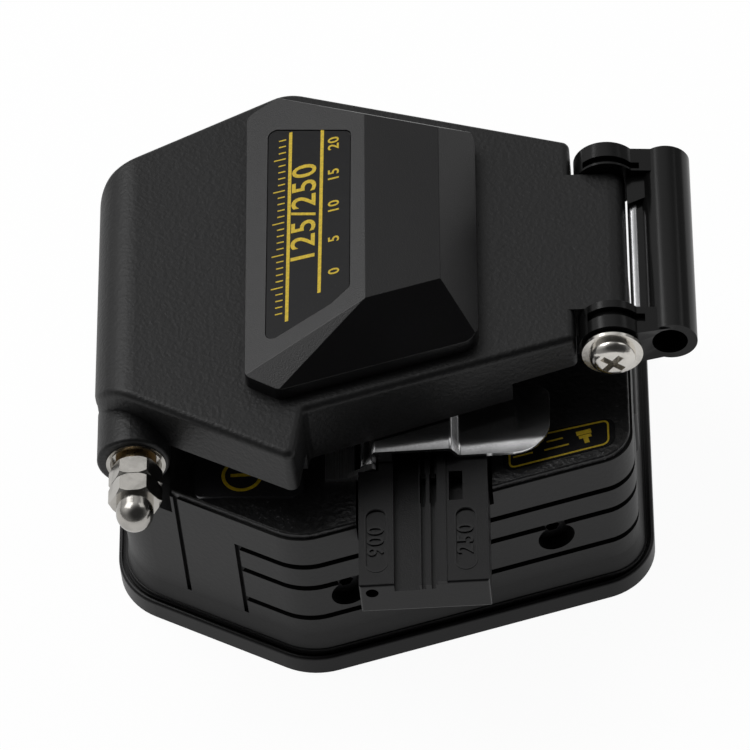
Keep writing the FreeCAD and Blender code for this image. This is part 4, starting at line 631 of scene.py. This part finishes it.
class CLEAVER_OT_body_finish(CleaverOperator):
    """Finishes the body, deck, tray, foot and fibre holder."""

    bl_idname = "cleaver.body_finish"
    bl_label = "Body finish"

    def make(self, colours, sizes, studio):
        paint = cast_paint("cast paint", colours.cast_black, sizes)
        # The deck paint is the cast black made 2.2 times lighter, with much brighter specks: painted light
        # making up for the shade under the lid, and painted glints.
        deck = cast_paint("deck paint with painted light", shade(colours.cast_black, 2.2), sizes, 1.2, 5.0, (0.22, 0.42), 9.0)
        plastic = moulded_plastic("holder plastic", colours.moulded_black, sizes, depth=0.6, sheen=0.36)
        tray = moulded_plastic("tray plastic", colours.moulded_black, sizes, sheen=0.27)
        foot = rubber("foot rubber", colours.soft_rubber)
        # The index film is the film black made 2.6 times lighter: painted light for the plate in the shade
        # under the lid edge.
        film = printed_film("index film painted lighter", shade(colours.film_black, 2.6), 0.7)
        finish_nodes({"base_body": paint, "deck_plate": deck, "base_tray": tray, "foot_pad": foot,
                      "index_plate": film, "fibre_holder": plastic})


class CLEAVER_OT_lid_finish(CleaverOperator):
    """Finishes the lid, its under cover and label film, and the push knob."""

    bl_idname = "cleaver.lid_finish"
    bl_label = "Lid finish"

    def make(self, colours, sizes, studio):
        paint = cast_paint("lid paint", colours.cast_black, sizes, 0.9, 2.4)
        cover = moulded_plastic("cover plastic", colours.moulded_black, sizes, (0.35, 0.5), 0.6)
        film = printed_film("label film", colours.film_black, 0.1)
        finish_nodes({"lid_shell": paint, "under_cover": cover, "label_plate": film, "slider_knob": cover})


class CLEAVER_OT_metal_finish(CleaverOperator):
    """Finishes the screws, hinge, clamps, carriage, blade, anvil and flap bracket."""

    bl_idname = "cleaver.metal_finish"
    bl_label = "Metal finish"

    def make(self, colours, sizes, studio):
        black = blackened_screw("black oxide")
        plated = bright_plating("bright plating", colours.plated_steel)
        # The latch screws get the nuts' plating made 1.5 times lighter: painted light for the bright screw
        # heads.
        screw = bright_plating("screw plating painted lighter", shade(colours.plated_steel, 1.5))
        along_y = ground_steel("steel ground along Y", colours.ground_steel, "Y")
        along_x = ground_steel("steel ground along X", colours.ground_steel, "X")
        along_z = ground_steel("steel ground along Z", colours.ground_steel, "Z")
        bracket = ground_steel("bracket steel", colours.pressed_steel, "Y", (0.28, 0.42))
        alloy = machined_alloy("machined alloy", colours.machined_alloy)
        pads = rubber("pad rubber", colours.soft_rubber)
        brass = turned_metal("turned brass", colours.turned_brass, node_centre("hinge_bushes"))
        blade = turned_metal("carbide", shade(colours.ground_steel, 0.8), node_centre("blade_wheel"),
                             rough=(0.08, 0.2))
        screws = ("base_screws", "deck_screws", "side_screws", "block_screws", "rail_screws", "holder_screw",
                  "cover_screws", "set_screw")
        finish_nodes({name: black for name in screws})
        finish_nodes({name: plated for name in ("hinge_nuts", "hinge_cap", "hinge_ring", "holder_magnet",
                                                "anvil_nut", "anvil_spring")})
        finish_nodes({name: alloy for name in ("hinge_block", "lower_clamps", "upper_clamps", "anvil_guide",
                                               "carriage", "blade_hub")})
        finish_nodes({name: along_y for name in ("hinge_shaft", "latch_rod", "flap_pin", "blade_spindle",
                                                 "blade_cover")})
        finish_nodes({name: pads for name in ("lower_pads", "upper_pads", "flap_pad", "anvil_tip")})
        finish_nodes({"latch_screws": screw, "guide_rail": along_x, "anvil_stem": along_z,
                      "flap_bracket": bracket, "hinge_bushes": brass, "blade_wheel": blade})


class CLEAVER_OT_flap_sheet(CleaverOperator):
    """Gives the steel flap its softened edges."""

    bl_idname = "cleaver.flap_sheet"
    bl_label = "Flap sheet"

    def make(self, colours, sizes, studio):
        bm = node_shape("clamp_flap")
        sharp = [e for e in bm.edges if e.is_manifold and e.calc_face_angle() > math.radians(50)]
        round_edges(bm, sharp, sizes.sheet_bevel)
        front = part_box("clamp_flap")[0].y
        steel = pressed_sheet("flap steel", colours.pressed_steel, front, sizes.sheet_roll)
        piece = to_piece("flap_sheet", bm, "flap", steel)
        smooth(piece)
        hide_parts("clamp_flap")


class CLEAVER_OT_pad_skin(CleaverOperator):
    """Gives the thumb pad the soft edges of a moulding."""

    bl_idname = "cleaver.pad_skin"
    bl_label = "Pad skin"

    def make(self, colours, sizes, studio):
        bm = node_shape("thumb_pad")
        low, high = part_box("label_plate")
        margin = 0.5 * MM
        outer = []
        for edge in bm.edges:
            if not edge.is_manifold or edge.calc_face_angle() < math.radians(14):
                continue
            in_recess = all(low.x - margin < v.co.x < high.x + margin and
                            low.y - margin < v.co.y < high.y + margin for v in edge.verts)
            at_foot = all(v.co.z < self.foot(v.co.x) for v in edge.verts)
            if edge.is_convex and not in_recess and not at_foot:
                outer.append(edge)
        round_edges(bm, outer, sizes.pad_bevel, 4)
        plastic = moulded_plastic("pad plastic", colours.moulded_black, sizes, (0.24, 0.36), 0.7)
        piece = to_piece("pad_skin", bm, "lid", plastic)
        smooth(piece)
        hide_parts("thumb_pad")

    def foot(self, x):
        """A height just over the sloping top of the lid."""
        low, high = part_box("thumb_pad")
        share = (x - low.x) / (high.x - low.x)
        fall = (high.x - low.x) * math.tan(LID_TILT)
        return low.z + fall * (1.0 - share) + 0.3 * MM


class CLEAVER_OT_latch_skin(CleaverOperator):
    """Lets the front arm of the latch run flush into the end of its tube."""

    bl_idname = "cleaver.latch_skin"
    bl_label = "Latch skin"

    def make(self, colours, sizes, studio):
        bm = node_shape("latch_frame")
        bmesh.ops.triangulate(bm, faces=bm.faces)
        rod_left, rod_right = (corner.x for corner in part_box("latch_rod"))
        neck_start = (rod_left + rod_right) / 2 + 1.2 * MM
        tube_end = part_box("latch_frame")[0].y + 1.35 * MM
        for vert in bm.verts:
            if vert.co.x > neck_start and vert.co.y < tube_end:
                vert.co.y = tube_end
        bmesh.ops.dissolve_degenerate(bm, dist=0.001 * MM, edges=bm.edges)
        gloss = moulded_plastic("latch plastic", colours.latch_black, sizes, (0.12, 0.22), 0.15, 0.27)
        piece = to_piece("latch_skin", bm, "latch", gloss)
        smooth(piece)
        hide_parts("latch_frame")


class CLEAVER_OT_label_print(CleaverOperator):
    """Prints the rules, the scale and plain numbers on the pad label."""

    bl_idname = "cleaver.label_print"
    bl_label = "Label print"

    def make(self, colours, sizes, studio):
        half, thick = sizes.rule_width / 2, sizes.print_thickness
        lean, rule_end = 0.015, 19.0 * MM
        bm = bmesh.new()
        for bottom, top, start in ((2.6 * MM, 3.05 * MM, -10.4 * MM), (6.65 * MM, 7.1 * MM, -7.2 * MM)):
            points = [(bottom - half, start), (bottom + half, start), (top + half, rule_end),
                      (top - half, rule_end)]
            thicken(bm, [flat_shape(bm, points)], thick)
        for step in range(28):
            along = step * sizes.scale_step
            reach = (1.5 if step % 5 == 4 else 0.9) * MM
            edge, y = 2.05 * MM + along * lean, along - 9.0 * MM
            bar(bm, edge - reach, edge, y - 0.09 * MM, y + 0.09 * MM, thick)
        for number in range(5):
            place = turned(math.pi / 2, 8.55 * MM, (-4.4 + 5.0 * number) * MM)
            add_numerals(bm, str(number * 5), 1.35 * MM, thick, place, 0.03 * MM, 1.1)
        place = turned(math.pi / 2 - lean, 4.85 * MM, 5.6 * MM)
        add_numerals(bm, "125/250", sizes.numeral_height, thick, place, 0.05 * MM, 1.12)
        bmesh.ops.transform(bm, matrix=label_frame(), verts=bm.verts)
        ink = yellow_ink("label ink", colours.ink_yellow)
        to_piece("label_print", bm, "lid", ink)


class CLEAVER_OT_index_print(CleaverOperator):
    """Prints the ring and its number on the plate by the hinge."""

    bl_idname = "cleaver.index_print"
    bl_label = "Index print"

    def make(self, colours, sizes, studio):
        low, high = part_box("index_plate")
        centre = Vector((low.x + 5.6 * MM, low.y + 3.6 * MM, high.z))
        bm = bmesh.new()
        ring(bm, sizes.ring_radius, 0.42 * MM, sizes.print_thickness)
        add_numerals(bm, "1", 2.4 * MM, sizes.print_thickness, turned(math.pi / 2, 0, 0), 0.06 * MM)
        bmesh.ops.translate(bm, vec=centre, verts=bm.verts)
        ink = yellow_ink("index ink", colours.ink_yellow)
        to_piece("index_print", bm, "base", ink)


class CLEAVER_OT_care_label(CleaverOperator):
    """Adds the small care label on the deck beside the flap."""

    bl_idname = "cleaver.care_label"
    bl_label = "Care label"

    def make(self, colours, sizes, studio):
        film, thick = 0.10 * MM, sizes.print_thickness
        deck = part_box("deck_plate")[1]
        corner = Vector((deck.x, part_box("flap_pad")[0].y))
        points = ((-14.4, -3.0), (-2.45, 0.0), (-2.45, 3.7), (-14.4, 1.2))
        frame_line = [corner + Vector(point) * MM for point in points]
        middle = sum(frame_line, Vector((0.0, 0.0))) / 4
        border = [point + (point - middle).normalized() * 0.75 * MM for point in frame_line]
        bm = bmesh.new()
        thicken(bm, [flat_shape(bm, border, 1.3 * MM)], film)
        bmesh.ops.translate(bm, vec=(0, 0, deck.z), verts=bm.verts)
        to_piece("care_label", bm, "base", printed_film("care film", colours.film_black))

        bm = bmesh.new()
        thicken(bm, outline_band(bm, frame_line, 0.8 * MM, 0.22 * MM), thick)
        slope = math.atan2(frame_line[1].y - frame_line[0].y, frame_line[1].x - frame_line[0].x)
        brush = ((0.9, 0.35, 0.95), (0.75, -0.2, 0.25), (0.3, -1.0, -0.2))
        self.add_bars(bm, brush, corner + Vector((-5.3, 1.3)) * MM, slope, thick)
        for x, y, half in ((-8.9, 1.0, 1.0), (-8.7, -0.1, 1.5), (-12.7, -1.0, 1.2)):
            self.add_bars(bm, [(half, -0.11, 0.11)], corner + Vector((x, y)) * MM, slope, thick)
        bmesh.ops.translate(bm, vec=(0, 0, deck.z + film), verts=bm.verts)
        ink = yellow_ink("care ink", shade(colours.ink_yellow, 0.7))
        to_piece("care_print", bm, "base", ink)

    def add_bars(self, bm, bars, place, slope, thick):
        """Adds bars of given half width, bottom and top in millimetres, turned along the label."""
        part = bmesh.new()
        for half, bottom, top in bars:
            bar(part, -half * MM, half * MM, bottom * MM, top * MM, thick)
        bmesh.ops.transform(part, matrix=turned(slope, place.x, place.y), verts=part.verts)
        join(bm, part)


class CLEAVER_OT_size_marks(CleaverOperator):
    """Raises the fibre sizes in the two round-ended recesses of the holder."""

    bl_idname = "cleaver.size_marks"
    bl_label = "Size marks"

    def make(self, colours, sizes, studio):
        low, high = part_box("fibre_holder")
        rib_height, recess_depth, rim_height = 0.2 * MM, 0.25 * MM, 0.06 * MM
        top = high.z - rib_height
        marks = (("900", low.x + 2.05 * MM, low.y + 6.7 * MM, 2.4 * MM, 9.2 * MM),
                 ("250", high.x - 2.65 * MM, low.y + 6.4 * MM, 2.3 * MM, 9.0 * MM))
        bm = bmesh.new()
        for words, x, y, width, length in marks:
            place = Matrix.Translation((0, 0, top - recess_depth)) @ turned(math.pi / 2, x, y)
            add_numerals(bm, words, sizes.mark_height, 0.18 * MM, place, 0.03 * MM, 1.15)
            across, along = width / 2 + sizes.rim_width, length / 2 + sizes.rim_width
            border = [(x + side * across, y + end * along)
                      for side, end in ((-1, -1), (1, -1), (1, 1), (-1, 1))]
            rim = bmesh.new()
            thicken(rim, outline_band(rim, border, across * 0.98, sizes.rim_width), rim_height)
            bmesh.ops.translate(rim, vec=(0, 0, top), verts=rim.verts)
            join(bm, rim)
        plastic = moulded_plastic("mark plastic", colours.moulded_black, sizes)
        to_piece("size_marks", bm, "base", plastic)


class CLEAVER_OT_stage(CleaverOperator):
    """Sets up the floor, studio light and camera."""

    bl_idname = "cleaver.stage"
    bl_label = "Studio"

    def make(self, colours, sizes, studio):
        bm = bmesh.new()
        bmesh.ops.create_circle(bm, cap_ends=True, segments=96, radius=3.0)
        mesh = bpy.data.meshes.new("floor")
        bm.to_mesh(mesh)
        bm.free()
        floor = bpy.data.objects.new("floor", mesh)
        mesh.transform(Matrix.Translation((0, 0, CAD_BOX[0].z)))
        mesh.materials.append(self.floor_material(studio))
        bpy.context.scene.collection.objects.link(floor)
        lamps = [self.lamp(name, place, size, studio.key_power * share)
                 for name, (place, size, share) in LAMPS.items()]
        self.sky(studio)
        self.camera()

    def floor_material(self, studio):
        material = bpy.data.materials.new("floor")
        material.use_nodes = True
        shader = Shader(material.node_tree)
        seen = shader.node("ShaderNodeLightPath").signal("Is Camera Ray")
        matt = shader.node("ShaderNodeBsdfPrincipled", None,
                           {"Base Color": (studio.floor_white,) * 3, "Roughness": 0.9})
        glow = shader.node("ShaderNodeEmission", None, {"Color": (1.0, 1.0, 1.0), "Strength": 1.06})
        share = seen * 0.45 + studio.floor_glow
        mixed = shader.node("ShaderNodeMixShader", None, [share, matt.out("BSDF"), glow.out()])
        shader.node("ShaderNodeOutputMaterial", None, {"Surface": mixed.out()})
        return material

    def lamp(self, name, place, size, power):
        light = bpy.data.lights.new(name, "AREA")
        light.shape = "SQUARE"
        light.size = size
        light.energy = power
        lamp = bpy.data.objects.new(name, light)
        lamp.location = place
        lamp.rotation_euler = Vector(place).to_track_quat("Z", "Y").to_euler()
        bpy.context.scene.collection.objects.link(lamp)
        return lamp

    def sky(self, studio):
        world = bpy.data.worlds.new("studio")
        world.use_nodes = True
        bpy.context.scene.world = world
        shader = Shader(world.node_tree)
        x, y, z = shader.axes()
        toward_tent = x * -0.45 + y * 0.45 + z * 0.77
        toward_dark = x * 0.33 + y * -0.55 + z * 0.77
        tent = toward_tent.between(0.50, 0.95) * studio.tent_level + studio.sky_level
        level = tent * (1.0 - toward_dark.between(0.3, 0.9) * 0.85)
        seen = shader.node("ShaderNodeLightPath").signal("Is Camera Ray")
        strength = level * (1.0 - seen) + seen
        glow = shader.node("ShaderNodeBackground", None, {"Color": (1.0, 1.0, 1.0), "Strength": strength})
        shader.node("ShaderNodeOutputWorld", None, {"Surface": glow.out()})

    def camera(self):
        """The camera looks down from the front, a little turned and rolled."""
        yaw, pitch, roll = (math.radians(angle) for angle in CAMERA_TURN.values())
        back = Vector((math.sin(yaw) * math.cos(pitch), -math.cos(yaw) * math.cos(pitch), math.sin(pitch)))
        level = Vector((0, 0, 1)).cross(back).normalized()
        rise = back.cross(level)
        right = level * math.cos(roll) + rise * math.sin(roll)
        up = rise * math.cos(roll) - level * math.sin(roll)
        data = bpy.data.cameras.new("camera")
        for name, value in CAMERA_LENS.items():
            setattr(data, name, value)
        data.clip_start, data.clip_end = 0.01, 10.0
        camera = bpy.data.objects.new("camera", data)
        place = Matrix((right, up, back)).transposed().to_4x4()
        place.translation = CAMERA_AIM + back * CAMERA_DISTANCE
        camera.matrix_world = place
        bpy.context.scene.collection.objects.link(camera)
        bpy.context.scene.camera = camera
        bpy.context.scene.view_settings.view_transform = "Standard"
        return camera


class CLEAVER_PT_panel(bpy.types.Panel):
    """Lists the steps and their settings."""

    bl_idname = "CLEAVER_PT_panel"
    bl_label = "Fibre cleaver"
    bl_space_type = "VIEW_3D"
    bl_region_type = "UI"
    bl_category = "Cleaver"

    def draw(self, context):
        scene = context.scene
        for group in (scene.cleaver_colours, scene.cleaver_sizes, scene.cleaver_studio):
            column = self.layout.column(align=True)
            for name in group.__annotations__:
                column.prop(group, name)
        for step in STEPS:
            self.layout.operator(step.bl_idname)


GROUPS = (CleaverColours, CleaverSizes, CleaverStudio)
STEPS = (CLEAVER_OT_body_finish, CLEAVER_OT_lid_finish, CLEAVER_OT_metal_finish, CLEAVER_OT_flap_sheet,
         CLEAVER_OT_pad_skin, CLEAVER_OT_latch_skin, CLEAVER_OT_label_print, CLEAVER_OT_index_print,
         CLEAVER_OT_care_label, CLEAVER_OT_size_marks, CLEAVER_OT_stage)


def register():
    for kind in GROUPS + STEPS + (CLEAVER_PT_panel,):
        bpy.utils.register_class(kind)
    bpy.types.Scene.cleaver_colours = PointerProperty(type=CleaverColours)
    bpy.types.Scene.cleaver_sizes = PointerProperty(type=CleaverSizes)
    bpy.types.Scene.cleaver_studio = PointerProperty(type=CleaverStudio)


def unregister():
    del bpy.types.Scene.cleaver_colours, bpy.types.Scene.cleaver_sizes, bpy.types.Scene.cleaver_studio
    for kind in reversed(GROUPS + STEPS + (CLEAVER_PT_panel,)):
        bpy.utils.unregister_class(kind)


def main():
    """Registers the add-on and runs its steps."""
    register()
    for step in STEPS:
        group, name = step.bl_idname.split(".")
        if getattr(getattr(bpy.ops, group), name)() != {"FINISHED"}:
            raise RuntimeError(step.bl_label + " didn't finish")


if __name__ == "__main__":
    main()
